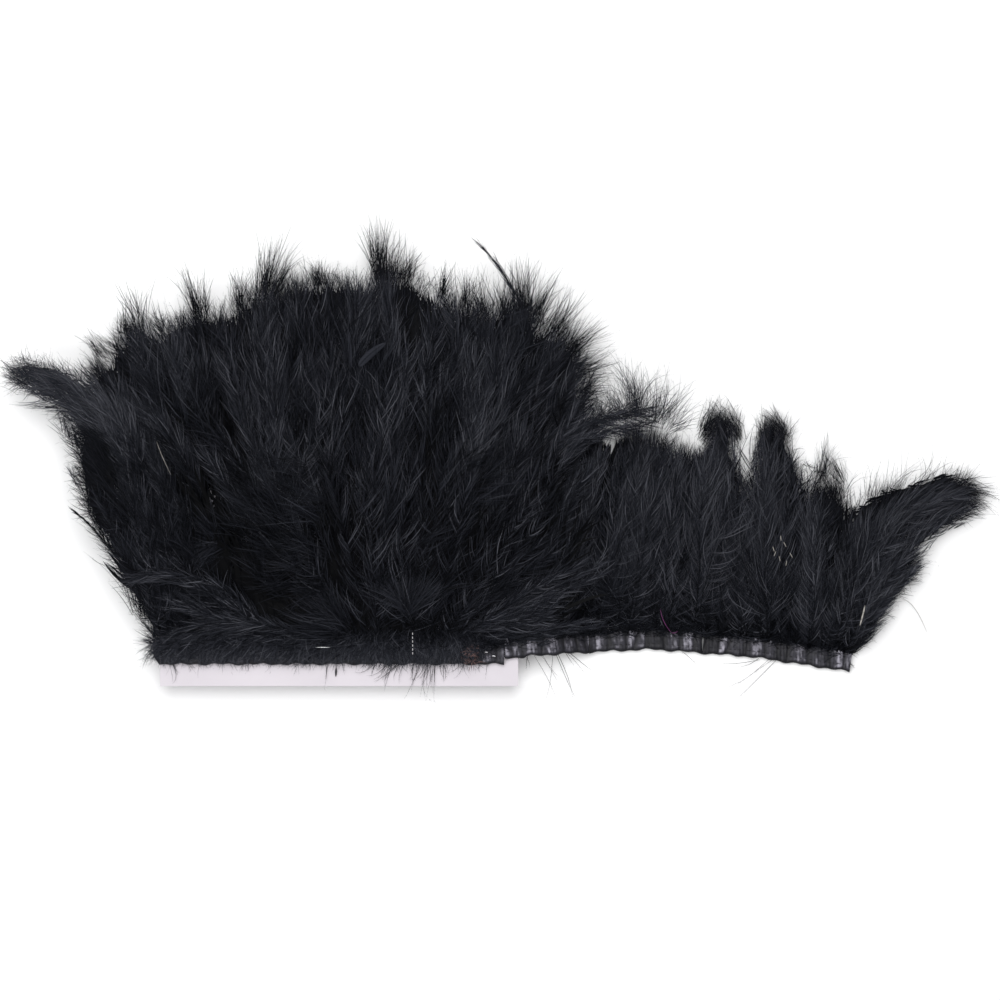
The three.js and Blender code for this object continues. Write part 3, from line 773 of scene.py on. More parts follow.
def outside(points, outline):
    """How far points (n, 2) lie outside a closed outline. Inside it the distance is negative."""
    a = np.array(outline, float)
    b = np.roll(a, -1, 0)
    edge = b - a
    away = points[:, None] - a
    share = np.clip((away * edge).sum(-1) / (edge**2).sum(-1), 0, 1)
    distance = np.linalg.norm(away - share[..., None] * edge, axis=-1).min(1)
    level = points[:, None, 1]
    crosses = (a[:, 1] > level) != (b[:, 1] > level)
    slope = edge[:, 0] / np.where(edge[:, 1] == 0, 1e-9, edge[:, 1])
    inside = (crosses & (points[:, None, 0] < a[:, 0] + (level - a[:, 1]) * slope)).sum(1) % 2 == 1
    return np.where(inside, -distance, distance)


def along_line(line, per_mm):
    """Random places along an open line, and the direction to the right of the line at each."""
    line = np.array(line, float)
    step = np.diff(line, axis=0)
    size = np.linalg.norm(step, axis=1)
    run = np.concatenate([[0], np.cumsum(size)])
    at = rng.uniform(0, run[-1], int(run[-1] * per_mm))
    which = np.clip(np.searchsorted(run, at) - 1, 0, len(step) - 1)
    places = line[which] + step[which] * ((at - run[which]) / size[which])[:, None]
    return places, np.stack([step[which, 1], -step[which, 0]], 1) / size[which, None]


STEP_SHARE = np.linspace(0, 1, STRAND_STEPS - 1)


def add_locks(out, outline, tips, lean, size, layer, width, tint, margin=0.5):
    """Flat matted locks that end at tips, stay within the outline by a margin and lie low in a row. Their
    dark tint is painted shade for the depth of the row.
    """
    back = np.stack([np.sin(lean), np.cos(lean)], 1) * size[:, None]
    kept = np.maximum(outside(tips, outline), outside(tips - back, outline)) < -margin
    tips, back, lean, size = tips[kept], back[kept], lean[kept], size[kept]
    count = len(tips)
    base = np.concatenate([tips - back, np.zeros((count, 1))], 1)
    turned = lean[:, None] + rng.normal(0, 0.2, (count, 1)) * (2 * STEP_SHARE - 1)
    paths = walk(base, turned, size)
    paths[..., 2] = layer.height(paths[..., 1], 0.1) + rng.uniform(0, 0.7, (count, 1))
    width = width * rng.uniform(0.6, 1.2, (count, 1))
    roll = rng.normal(0, 0.2, count)
    out.strands(paths, width, roll, rng.normal(tint, 0.05, (count, 1)) + STRAND_SHADE / 3)


def add_fill(out, outline, flow, layer, x_range, y_range, count):
    """Matted locks, dark with painted shade, spread evenly over the part of an outline that lies in a box.
    """
    corner = np.array([x_range[0], y_range[0]]), np.array([x_range[1], y_range[1]])
    tips = rng.uniform(*corner, (count, 2))
    lean = np.radians(follow(flow, tips[:, 0]) + rng.normal(0, 12, count))
    size = rng.uniform(18, 28, count)
    add_locks(out, outline, tips, lean, size, layer, 3.2, 0.1, margin=RIM_INSET)


RIM_INSET = 5.5  # how far inside the outline the broad dark locks end
SPLASHES_PER_MM = 0.22
SPLASH_INSET = 15


def add_rim(out, fringe, outline, line, flow, layer, per_mm=11.0, depth=22.0, hairs=2.4, reach=11.0,
            tint=0.3):
    """Small locks just inside a line that has the feathers on its right, splashes of down over them, and a
    fringe of fine hairs across the line."""
    places, inward = along_line(line, per_mm)
    tips = places + inward * (RIM_INSET + depth * rng.uniform(0, 1, (len(places), 1)) ** 1.3)
    lean = np.radians(follow(flow, tips[:, 0]) + rng.normal(0, 16, len(tips)))
    # small locks with a low tint of painted shade
    add_locks(out, outline, tips, lean, rng.uniform(9, 17, len(tips)), layer, 1.1, 0.22)

    places, inward = along_line(line, SPLASHES_PER_MM)
    for (x, y), (to_x, to_y) in zip(places, inward):
        x, y = x + SPLASH_INSET * to_x, y + SPLASH_INSET * to_y
        lean = 0.4 * math.degrees(math.atan2(-to_x, -to_y)) + 0.6 * follow(flow, x) + rng.normal(0, 9)
        height = layer.height(y, rng.uniform(0.3, 0.6))
        add_splash(fringe, x, y, height, 30, rng.uniform(19, 26), lean, 20, tint + 0.08, 0.24, (0, 7))

    places, inward = along_line(line, hairs)
    places = places + inward * rng.uniform(0, 9, (len(places), 1))
    lean = 0.5 * np.degrees(np.arctan2(-inward[:, :1], -inward[:, 1:])) + 0.5 * follow(flow, places[:, :1])
    base = np.concatenate([places, layer.height(places[:, 1:], 0.35)], 1)
    add_down(fringe, base, reach, lean, 42, tint, 0.19, (0, 8), 0.5)


MAT_WIDTH = 3.0


def add_painted_shade_locks(out, x, y, heading, reach, layer, count):
    """Broad matted locks, near black with painted shade, deep in a row, from the quills nearly to the tips,
    so that nothing shows through.
    x, y, heading and reach are given at places along the row."""
    pick = rng.uniform(0, len(x) - 1, count)
    places = np.arange(len(x))
    root_x = np.interp(pick, places, x) + rng.normal(0, 1.5, count)
    root_y = np.interp(pick, places, y)
    lean = np.radians(np.interp(pick, places, heading) + rng.normal(0, 9, count))
    lock = rng.uniform(28, 44, count)
    forward = -6 + rng.uniform(0, 1, count) * (0.94 * np.interp(pick, places, reach) - lock - 6)
    base = np.stack([root_x + np.sin(lean) * forward, root_y + np.cos(lean) * forward, np.zeros(count)], 1)
    turned = lean[:, None] + rng.normal(0, 0.3, (count, 1)) * STEP_SHARE
    paths = walk(base, turned, lock)
    paths[..., 2] = layer.height(paths[..., 1], 0.1) + rng.uniform(0, 0.7, (count, 1))
    width = MAT_WIDTH * (1 - 0.5 * np.clip(forward / 100, 0, 1)[:, None]) * rng.uniform(0.7, 1.2, (count, 1))
    # near-black tint: painted shade
    out.strands(paths, width, rng.normal(0, 0.2, count), 0.02)


def add_down(out, base, reach, lean, spread, tint=0.4, width=0.26, rise=(5, 40), curl=0.7):
    """Short downy barbs that radiate from each base, within spread degrees of lean."""
    n = len(base)
    turned = np.radians(lean + spread * rng.uniform(-1, 1, (n, 1)))
    turned = turned + curl * rng.normal(0, 1, (n, 1)) * STEP_SHARE
    climb = np.radians(rng.uniform(*rise, (n, 1))) * (1 - 2 * STEP_SHARE)
    paths = walk(base, turned, reach * rng.uniform(0.4, 1.1, n), climb)
    shades = rng.normal(tint, 0.14, (n, 1)) + STRAND_SHADE
    out.strands(paths, width * rng.uniform(0.6, 1.5, (n, 1)), rng.normal(0, 0.7, n), shades)
    add_barbules(out, paths, shades, 3)


def scattered(x, y, z, count, jitter):
    """Some places round each of those given by x, y and z."""
    base = np.stack([np.repeat(v, count) for v in np.broadcast_arrays(x, y, z)], 1)
    return base + rng.normal(0, 1, base.shape) * np.array(jitter)


def add_base_down(out, x, y, z, per_root, reach, spread, tint):
    """Down where the feathers leave the header, some of which falls back over it."""
    add_down(out, scattered(x, y, z, per_root, (1.6, 1.8, 0.3)), reach, 0, spread, tint)


def add_splash(out, x, y, z, count, reach, lean, spread, tint=0.5, width=0.3, rise=(2, 22), curl=0.25):
    """Down that radiates from the place where one feather comes out of the others."""
    base = scattered(x, y, z, count, (2.6, 3.0, 0.6))
    add_down(out, base, reach, lean, spread, tint, width, rise, curl)


def add_fans(out, layer, level, fans, tint, width, rise, curl=0.25):
    """Fans of down at a level of a row's thickness. Each is (x, y, barbs, reach, lean, spread)."""
    for x, y, *fan in fans:
        add_splash(out, x, y, layer.height(y, level), *fan, tint, width, rise, curl)


def add_cover(out, layer, flow, x_range, y_range, count, per_tuft, reach, tint):
    """Tufts of down whose roots show at the top of a row, each fanning out along the feathers round it."""
    x, y = rng.uniform(*x_range, count), rng.uniform(*y_range, count)
    lean = follow(flow, x) + rng.normal(0, 16, count)
    for number in range(count):
        top = layer.height(y[number], rng.uniform(0.75, 1.0))
        size = reach * rng.uniform(0.7, 1.3)
        shade = tint + rng.normal(0, 0.07)
        add_splash(out, x[number], y[number], top, per_tuft, size, lean[number], rng.uniform(18, 46), shade)


def add_stray_hairs(out, root, heading, spread, reach, count, width=0.26, curl=0.45):
    """A few loose barbs from one place, such as those that hang below the header."""
    base = scattered(*root, count, (1.6, 0.5, 0.2))
    lean = np.radians(heading + rng.normal(0, spread, count))
    turned = lean[:, None] + rng.normal(0, curl, (count, 1)) * STEP_SHARE**2
    paths = walk(base, turned, reach * rng.uniform(0.45, 1.1, count))
    tint = rng.normal(0.35, 0.1, (count, 1)) + STRAND_SHADE
    out.strands(paths, width * rng.uniform(0.7, 1.3, (count, 1)), rng.normal(0, 0.5, count), tint)
    add_barbules(out, paths, tint, 5)


PLUME = {
    "shaft": 0.6,  # its width at the root
    "hook": 1.3,
    "tufts": 19,  # on each side
    "bare": 0.0,  # share of the shaft without barbs
    "crowd": 0.88,  # below 1, barbs crowd towards the tip
    "open": (30, 27),  # degrees between barb and shaft: what the root has over the tip, and the tip
    "sweep": 0.8,  # how far a barb turns back to run along the shaft
    "barb": 38.0,
    "curl": 0.22,
    "skew": 0.3,  # radians that the barbs of one feather turn to one side
    "rise": 1,
    "cling": 0.12,
    "width": 0.25,
    "tint": 0.45,
    "painted_highlight": 0.18,  # share of the barbs given a painted highlight, a lighter tint as if they caught the light
    "depth": 0.36,  # painted shade: how much darker the feathers at the bottom of the row are
    "fuzz": 3,
    "outline": None,  # where the barbs have to end
    "spare": 8.0,  # how far past the outline some of them go
}


def style_of(**changes):
    return {**PLUME, **changes}


def drift(x, wavelength, size):
    """Smooth random change along x, so that neighbouring feathers lean the same way."""
    places = np.arange(-80, 560, wavelength)
    return np.interp(x, places, rng.normal(0, size, len(places)))


def uneven(low, high, count):
    return low + (np.arange(count) + rng.uniform(0.1, 0.9, count)) * (high - low) / count


def add_one(out, x, y, z, heading, bend, length, layer, share, **changes):
    """A single feather that stands out of its row."""
    heading, bend, length, share = np.array([[heading], [bend], [length], [share]], float)
    add_feathers(out, np.array([[x, y, z]], float), heading, bend, length, layer, share, style_of(**changes))


def add_plume(out, y, z, layer, share, feathers, **changes):
    """Feathers (x, heading, bend, length) that stand out of their row together."""
    for x, *line in feathers:
        add_one(out, x, y, z, *line, layer, share, **changes)


def clumps_of(clumps, per_clump, spread, fan):
    """Feathers in clumps that fan out. clumps lists (x, lean, reach, level), where level is the height in
    the row's thickness. Gives x, heading, length, share and shade for each feather."""
    middle, lean, reach, level = (column[:, None] for column in np.array(clumps, float).T)
    across = np.clip(rng.normal(0, 1, (len(clumps), per_clump)), -2, 2)
    x = middle + across * spread
    heading = lean + across * fan + rng.normal(0, 3.5, across.shape)
    length = LENGTH_PER_REACH * reach * (1 - 0.03 * across**2) * rng.normal(1, 0.04, across.shape)
    share = np.clip(level + 0.15 * (1 - np.abs(across)) + rng.normal(0, 0.06, across.shape), 0.05, 1)
    shade = rng.normal(0, 0.05, (len(clumps), 1)) + rng.normal(0, 0.03, across.shape)
    return [values.ravel() for values in (x, heading, length, share, shade)]


# Clumps of feathers in each row: x of the root, lean in degrees, reach in mm, level in the row's thickness.
FRONT_CLUMPS = {
    1: [(6, -25, 122, 0.6), (26, -14, 130, 0.8), (50, -8, 138, 0.55), (72, -2, 148, 0.85),
        (96, -4, 150, 0.6), (120, 0, 150, 0.8), (144, -1, 156, 0.6), (166, 4, 150, 0.85), (188, 7, 142, 0.6),
        (208, 14, 136, 0.85), (225, 22, 114, 0.65)],
    2: [(4, -30, 112, 0.85), (20, -26, 126, 0.6), (44, -30, 122, 0.85), (66, 6, 142, 0.6),
        (88, -8, 142, 0.85), (110, -2, 144, 0.55), (132, 3, 144, 0.8), (154, 8, 142, 0.6),
        (178, 6, 142, 0.85), (202, 16, 136, 0.6), (223, 25, 106, 0.85)],
    3: [(4, -27, 108, 0.6), (22, -29, 112, 0.85), (50, -36, 116, 0.6), (78, 8, 138, 0.85),
        (104, -22, 136, 0.6), (128, 0, 142, 0.85), (150, 8, 140, 0.6), (176, 12, 138, 0.85),
        (202, 19, 130, 0.6), (224, 30, 110, 0.8)],
    4: [(4, -12, 110, 0.75), (18, -18, 118, 0.5), (42, -35, 112, 0.7), (62, -52, 96, 0.5),
        (84, -66, 90, 0.75), (104, -76, 82, 0.95), (122, -22, 130, 0.55), (142, 2, 138, 0.8),
        (162, 10, 136, 0.55), (176, 34, 120, 0.75), (188, 60, 98, 0.95), (204, 70, 88, 0.8),
        (217, 28, 130, 0.6)],
}
# What each row adds to its tint.
ROW_SHADE = {1: 0.0, 2: 0.0, 3: -0.01, 4: -0.06}
SHOWS_FROM = {1: 200, 2: 178, 3: 150, 4: 38}  # y above which a row isn't covered by the next


# The outlines of the dense feathers, clockwise. The body's starts at the lower left.
LEFT_SIDE = [(3, 16), (1, 26), (-4, 37), (-10, 53), (-19, 70), (-28, 84), (-30, 93), (-45, 113), (-47, 126),
             (-50, 146), (-52, 158)]
LEFT_PLUME = [(-52, 158), (-54, 169), (-66, 180), (-78, 187), (-88, 193), (-93, 204), (-86, 211), (-75, 208),
              (-60, 204), (-46, 201)]
FAR_SIDE = [(-46, 201), (-38, 211), (-32, 221), (-21, 232), (-4, 232), (12, 238), (23, 242), (43, 245),
            (60, 253), (72, 256), (92, 261), (106, 264), (116, 263), (134, 262), (145, 267), (163, 266),
            (175, 258), (193, 249), (206, 244), (215, 242), (227, 248), (237, 246), (248, 233), (263, 228),
            (271, 218), (273, 210), (272, 197), (276, 187), (284, 169)]
BODY_OUTLINE = LEFT_SIDE + LEFT_PLUME[1:] + FAR_SIDE[1:] + [(264, 120), (250, 40), (236, 16)]
TAIL_SIDE = [(236, 160), (262, 170), (284, 170), (292, 164), (302, 167), (314, 164), (329, 159), (338, 154),
             (350, 151), (358, 159), (360, 170), (366, 172), (367, 159), (369, 142), (375, 133), (382, 118),
             (390, 133), (389, 154), (388, 165), (392, 166), (402, 164), (411, 146), (417, 132), (422, 121),
             (426, 138), (435, 128), (448, 120), (452, 119), (459, 125), (471, 129), (483, 131), (495, 132),
             (507, 137), (516, 139), (523, 132), (529, 118), (523, 113), (514, 111), (502, 106), (493, 101),
             (488, 97), (487, 90), (489, 80), (488, 70), (482, 61), (473, 54), (469, 44), (462, 35),
             (455, 29), (449, 24)]
TAIL_OUTLINE = TAIL_SIDE + [(x, y + 9) for x, y, z in tail_edge(np.linspace(446, 238, 9))]


def finish_feathers(label, layers, node, attach):
    """Makes a piece of each layer of a row: the down underneath, the feathers, and the loose down on top."""
    for kind, out in zip(("underdown", "plumage", "loose_down"), layers):
        piece = out.piece(f"{label}_{kind}", FEATHER, "feather")
        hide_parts(node)
        attach(piece)


def flow_and_reach(clumps):
    """How the lean and the reach of clumps change along x."""
    return [clump[:2] for clump in clumps], [clump[:3:2] for clump in clumps]


BENEATH = {"tufts": 12, "fuzz": 0, "width": 0.36, "crowd": 1.15, "spare": 2.0}


def add_under_feathers(out, roots, flow, reaches, layer, style, tint):
    """Feathers with broader barbs at the bottom of a row, darkened with painted shade."""
    count = len(roots)
    lean = follow(flow, roots[:, 0]) + rng.normal(0, 8, count)
    reach = follow(reaches, roots[:, 0]) * rng.normal(1.04, 0.05, count)
    bend, share = rng.normal(0, 10, count), rng.uniform(0.05, 0.45, count)
    add_feathers(out, roots, lean, bend, reach, layer, share, {**style, **BENEATH, "tint": tint})


def add_front_row(row, per_clump, under, mat_count, style, extras):
    node = f"front_row_{row}_feathers"
    low, high = node_box(f"front_row_{row}_header")
    layer = Layer(node, CARD_WIDTH / 2)
    root_y, root_z = high[1] - 3.5, (low[2] + high[2]) / 2
    clumps = FRONT_CLUMPS[row]
    flow, reaches = flow_and_reach(clumps)
    underdown, plumage, loose = layers = Plumage(), Plumage(), Plumage()

    def roots(x):
        x = np.clip(x, low[0] + 1, high[0] - 1)
        return np.stack([x, np.full(len(x), root_y), np.full(len(x), root_z)], 1)

    style = {**style, "outline": BODY_OUTLINE}
    x = uneven(low[0] + 1, high[0] - 1, under)
    add_under_feathers(underdown, roots(x), flow, reaches, layer, style, 0.28 + ROW_SHADE[row])
    places = np.linspace(low[0] + 2, high[0] - 2, 60)
    heading = follow(flow, places)
    foot = np.full(60, root_y + 2)
    add_painted_shade_locks(underdown, places, foot, heading, follow(reaches, places), layer, mat_count)
    add_painted_shade_locks(underdown, places, foot, 0.2 * heading, np.full(60, 105.0), layer, mat_count // 2)

    x, heading, length, share, shade = clumps_of(clumps, per_clump, 4.2, 7.5)
    bend = rng.normal(0, 6, len(x)) + 0.12 * heading
    add_feathers(plumage, roots(x), heading, bend, length, layer, share, style, shade + ROW_SHADE[row])

    shown = SHOWS_FROM[row], root_y + 122
    cover = int((shown[1] - shown[0]) * 0.55)
    add_cover(loose, layer, flow, (-18, CARD_WIDTH + 10), shown, cover, 34, 30, 0.47 + ROW_SHADE[row])
    extras(loose, layer, root_y, root_z)
    if row == 1:
        add_fill(underdown, BODY_OUTLINE, flow, layer, (-50, 290), (150, 270), 2200)
        add_rim(underdown, loose, BODY_OUTLINE, FAR_SIDE, flow, layer)
    if row == 3:
        swept = [(-90, -78), (-50, -68)]
        add_rim(underdown, loose, BODY_OUTLINE, LEFT_PLUME, swept, layer, 1.2, 12.0, 3.6, 13.0, 0.55)
    if row == 4:
        add_fill(underdown, BODY_OUTLINE, flow, layer, (-40, 25), (28, 100), 500)
        add_rim(underdown, loose, BODY_OUTLINE, LEFT_SIDE, flow, layer, depth=12.0, hairs=4.5, reach=13.0)
    finish_feathers(f"front_row_{row}", layers, node, lambda piece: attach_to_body(piece, "wound_card"))


FAR_FANS = [(25, 240, 60, 36, -20, 9), (27, 240, 50, 25, -4, 20), (66, 250, 110, 42, 8, 11),
            (70, 252, 26, 50, 21, 5), (74, 250, 70, 28, 26, 14), (52, 246, 70, 24, 2, 22),
            (102, 258, 110, 17, -4, 36), (143, 261, 150, 44, -7, 12), (148, 262, 70, 28, 12, 18),
            (158, 261, 70, 22, 20, 22), (182, 250, 70, 24, 10, 22), (197, 244, 70, 28, 4, 20),
            (209, 240, 60, 28, -14, 20), (222, 240, 50, 30, -6, 20), (234, 240, 100, 40, 0, 17),
            (241, 236, 70, 36, 24, 14), (253, 226, 90, 34, 32, 20), (263, 215, 90, 32, 50, 22),
            (269, 202, 80, 28, 68, 22), (272, 190, 50, 20, 80, 30), (-22, 227, 50, 20, -6, 12),
            (-37, 213, 50, 22, -38, 12)]
# Narrow feathers whose barbs lie close to the shaft.
NARROW = {"barb": 18, "tufts": 16, "bare": 0.5, "open": (4, 7), "cling": 0.6, "tint": 0.2, "fuzz": 1,
          "skew": 0}
STIFF = {**NARROW, "barb": 16, "tufts": 14, "bare": 0.6, "open": (5, 8), "cling": 0.5}


def far_edge(out, layer, y, z):
    """Row 1: a dark narrow feather that crosses the corner, and fans of down along the far edge."""
    add_one(out, 222, y, z, 21, -66, 208, layer, 1.0, **NARROW)
    add_fans(out, layer, 0.6, FAR_FANS, 0.3, 0.24, (0, 6))


def add_vane(out, base, tip, width, rise, lean):
    """The smooth flat tip of a vaned feather, with barbs too fine to part."""
    steps, lanes = 24, 9
    base, tip = np.array(base, float), np.array(tip, float)
    t = np.linspace(0, 1, steps)[:, None]
    c = np.linspace(-1, 1, lanes)[None, :]
    half = width / 2 * (t**0.35) * (1 - t) ** 0.55 * 1.5
    along = (tip - base) / np.linalg.norm(tip - base)
    across = np.array([along[1], -along[0], 0.0])
    bow = np.sin(np.pi * t) * width * lean
    points = base + t[..., None] * (tip - base) + ((half * c + bow)[..., None]) * across
    points[..., 2] += rise * (1 - c**2) * np.sin(np.pi * t)
    corners = grid_corners(steps, lanes)
    stripes = 0.7 + 0.07 * np.sin(60 * t + 9 * np.abs(c)) - 0.25 * np.exp(-((c / 0.16) ** 2))
    out.add(points, corners, np.full(len(corners), 4), stripes)


RIGHT_PLUME = [(229, 0, 90, 157), (230, 4, 84, 160), (228, -3, 98, 158), (229, 2, 94, 146),
               (230, -1, 84, 150), (229, 5, 88, 152), (227, 1, 96, 164)]
RIGHT_FANS = [(305, 178, 80, 38, -14, 14), (309, 177, 70, 32, 6, 16), (318, 172, 60, 35, 14, 14),
              (324, 170, 60, 31, 28, 16), (330, 166, 40, 26, 56, 26), (296, 176, 70, 22, -30, 26),
              (284, 174, 80, 18, -10, 40)]


def right_plume(out, layer, y, z):
    """Row 2: sparse feathers that bend over to the right, over the start of the tail, and two vaned tips."""
    add_plume(out, y, z, layer, 0.75, RIGHT_PLUME, barb=22, tufts=18, bare=0.4, open=(20, 26), hook=1.0)
    add_fans(out, layer, 0.6, RIGHT_FANS, 0.6, 0.2, (0, 8), 0.6)
    top = layer.height(215, 1.0) + 1.5
    add_vane(out, (123, 204, top), (122, 227, top + 1), 3.6, 1.2, 0.12)
    add_vane(out, (128.5, 206, top), (146, 221, top + 0.5), 6.2, 1.4, -0.16)


LEFT_FEATHERS = [(3, -6, -80, 205), (4, -4, -84, 202), (2, -8, -78, 200), (5, -5, -82, 208),
                 (3, -9, -76, 196), (1, -11, -72, 188), (6, -6, -78, 198), (4, -8, -76, 190),
                 (3, -7, -80, 200)]


def left_plume(out, layer, y, z):
    """Row 3: a fluffy plume that stands out to the left, and splashes of down."""
    add_plume(out, y, z, layer, 0.85, LEFT_FEATHERS, barb=27, tufts=16, bare=0.5, open=(16, 27), hook=2.2,
              tint=0.6)
    add_splash(out, 39, 91, layer.height(91, 0.95), 150, 30, -112, 26, 0.5)
    add_splash(out, 39, 91, layer.height(91, 0.95), 200, 34, -50, 38, 0.45)
    add_splash(out, 68, 78, layer.height(78, 0.9), 180, 34, 6, 30, 0.45)


# Plumes on row 4 that lie to the right and to the left, and the loose barbs below its header.
TO_THE_RIGHT = [(186, 58, 6, 128, 0.98), (182, 55, 8, 124, 0.95), (190, 61, 4, 122, 0.92),
                (192, 76, 4, 100, 0.98), (196, 79, 2, 96, 0.95)]
TO_THE_LEFT = [(72, -14, -92, 128), (68, -18, -86, 122), (106, -52, -70, 124), (101, -48, -72, 120),
               (112, -56, -64, 132)]
# x, number, reach, heading and spread
ROW_HAIRS = [(8, 5, 18, 162, 12), (17, 4, 10, 150, 20), (58, 5, 10, 200, 25), (72, 4, 12, 110, 20),
             (92, 4, 9, 170, 30), (107, 2, 26, 186, 4), (141, 9, 15, 214, 12), (150, 12, 19, 212, 10),
             (156, 8, 22, 222, 8), (163, 5, 16, 190, 14), (171, 8, 26, 196, 8), (176, 13, 26, 190, 7),
             (182, 4, 18, 176, 12), (196, 4, 14, 178, 14), (210, 4, 10, 200, 20)]


def near_edge(out, layer, y, z):
    """Row 4: a stiff narrow feather on the left, plumes that lie to either side, splashes of down in the
    middle, fuzz over the header, and loose barbs that hang below it."""
    add_one(out, 4, y, z, -18, -36, 124, layer, 0.3, **STIFF)
    for *feather, share in TO_THE_RIGHT:
        add_plume(out, y, z, layer, share, [feather], barb=30, tufts=18, bare=0.12, open=(14, 12))
    add_plume(out, y, z, layer, 0.97, TO_THE_LEFT, barb=30, tufts=16, bare=0.2, open=(18, 13), hook=0.8)
    add_splash(out, 161, 49, layer.height(49, 1.0), 320, 40, 0, 66, 0.56)
    add_splash(out, 119, 40, layer.height(40, 1.0), 160, 34, -50, 34, 0.5)
    add_splash(out, 112, 34, layer.height(34, 1.0), 160, 36, -78, 16, 0.5)
    add_base_down(out, uneven(-3, 219, 150), y + 3.5, z + 2.2, 26, 13.0, 125, 0.36)
    base = scattered(uneven(-3, 206, 150), y + 5.0, z + 3.2, 24, (1.6, 3.0, 0.4))
    lean = follow([(0, 244), (110, 226), (150, 186), (206, 160)], base[:, :1])
    add_down(out, base, 16.0, lean, 46, 0.68, 0.26, (-2, 14), 0.5)
    add_base_down(out, uneven(-3, 200, 130), 19.5, z + 2.2, 18, 6.5, 170, 0.85)
    for x, count, reach, heading, spread in ROW_HAIRS:
        add_stray_hairs(out, [x, 16.5, 17.6], heading, spread, reach, count)


def add_back_row(row, count, style):
    node = f"back_row_{row}_feathers"
    edge = folded_edge(f"back_row_{row}_header")
    layer = Layer(node, CARD_WIDTH / 2)
    x = uneven(edge[0, 0] + 2, edge[-1, 0] - 2, count)
    y = np.interp(x, edge[:, 0], edge[:, 1]) + HEADER_WIDTH - 3
    z = np.full(count, edge[0, 2] + HEADER_DEPTH / 2)
    flow = follow([(0, -20), (115, -7), (231, 10)], x)
    heading = flow + drift(x, 25, 7) + rng.normal(0, 5, count)
    length = 140 * rng.normal(1, 0.05, count)
    share = rng.uniform(0.05, 0.9, count)
    out = Plumage()
    add_feathers(out, np.stack([x, y, z], 1), heading, rng.normal(0, 10, count), length, layer, share, style)
    add_painted_shade_locks(out, x, y + 2, 0.7 * flow, np.full(count, 125.0), layer, 350)
    piece = out.piece(f"back_row_{row}_plumage", FEATHER, "feather")
    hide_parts(node)
    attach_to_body(piece, "wound_card")


TAIL_CLUMPS = [
    (243, 4, 122, 0.5), (255, 9, 130, 0.8), (268, 8, 132, 0.5), (281, 6, 130, 0.8), (292, 8, 130, 0.55),
    (303, 9, 132, 0.8), (314, 8, 130, 0.55), (325, 6, 132, 0.8), (336, 2, 130, 0.6), (345, 5, 150, 0.9),
    (353, 2, 130, 0.6), (363, -4, 84, 0.5), (374, 4, 80, 0.7), (388, -1, 134, 0.6), (393, 0, 142, 0.9),
    (399, 1, 134, 0.7), (410, 4, 102, 0.5), (422, 6, 100, 0.8), (433, 12, 94, 0.6), (441, 18, 92, 0.7),
]


# Loose barbs below the tail: x, y, heading, spread, reach and number.
TAIL_HAIRS = [
    [(236, 21, 205, 30, 10, 4), (245, 20, 145, 8, 36, 3), (256, 22, 160, 7, 34, 3),
     (262, 22, 140, 14, 22, 3)],
    [(333, 24, 110, 14, 16, 2)],
    [(396, 18, 232, 6, 44, 3), (388, 17, 250, 12, 24, 2), (446, 14, 150, 30, 5, 6)],
]


END_FANS = [(394, 157, 80, 20, 2, 14), (401, 156, 70, 22, 20, 18), (427, 134, 70, 28, 8, 14),
            (440, 122, 20, 32, 4, 20), (460, 120, 20, 26, 6, 16), (474, 124, 24, 30, 26, 20),
            (492, 128, 24, 26, 34, 20)]


def end_plume(out, layer):
    """The thick plume at the cut end, which bends over to the right: fluffy feathers over closer ones."""
    common = {"hook": 1.6, "outline": TAIL_OUTLINE}
    fluffy = {"barb": 30, "bare": 0.12, "open": (24, 27), "crowd": 0.85, "tint": 0.55, **common}
    # the closer feathers underneath get a darker tint, which is painted shade
    under = {"barb": 24, "tufts": 15, "width": 0.45, "tint": 0.25, "fuzz": 0, "cling": 0.3, "spare": 5.0,
             **common}
    for number in range(16):
        across = number / 15
        x = 432 + 15 * across
        heading = 4 + 26 * across + rng.normal(0, 2)
        length = follow([(0, 158), (0.45, 170), (0.7, 140), (1, 84)], across)
        bend = follow([(0, 84), (0.5, 70), (1, 20)], across)
        _, y, z = tail_edge(np.array([x]))[0]
        for shorter, shares, style in ((0, (0.5, 1), fluffy), (14, (0.05, 0.4), under)):
            share = rng.uniform(*shares)
            add_one(out, x, y + 10, z + 1.2, heading, bend, length - shorter, layer, share, **style)


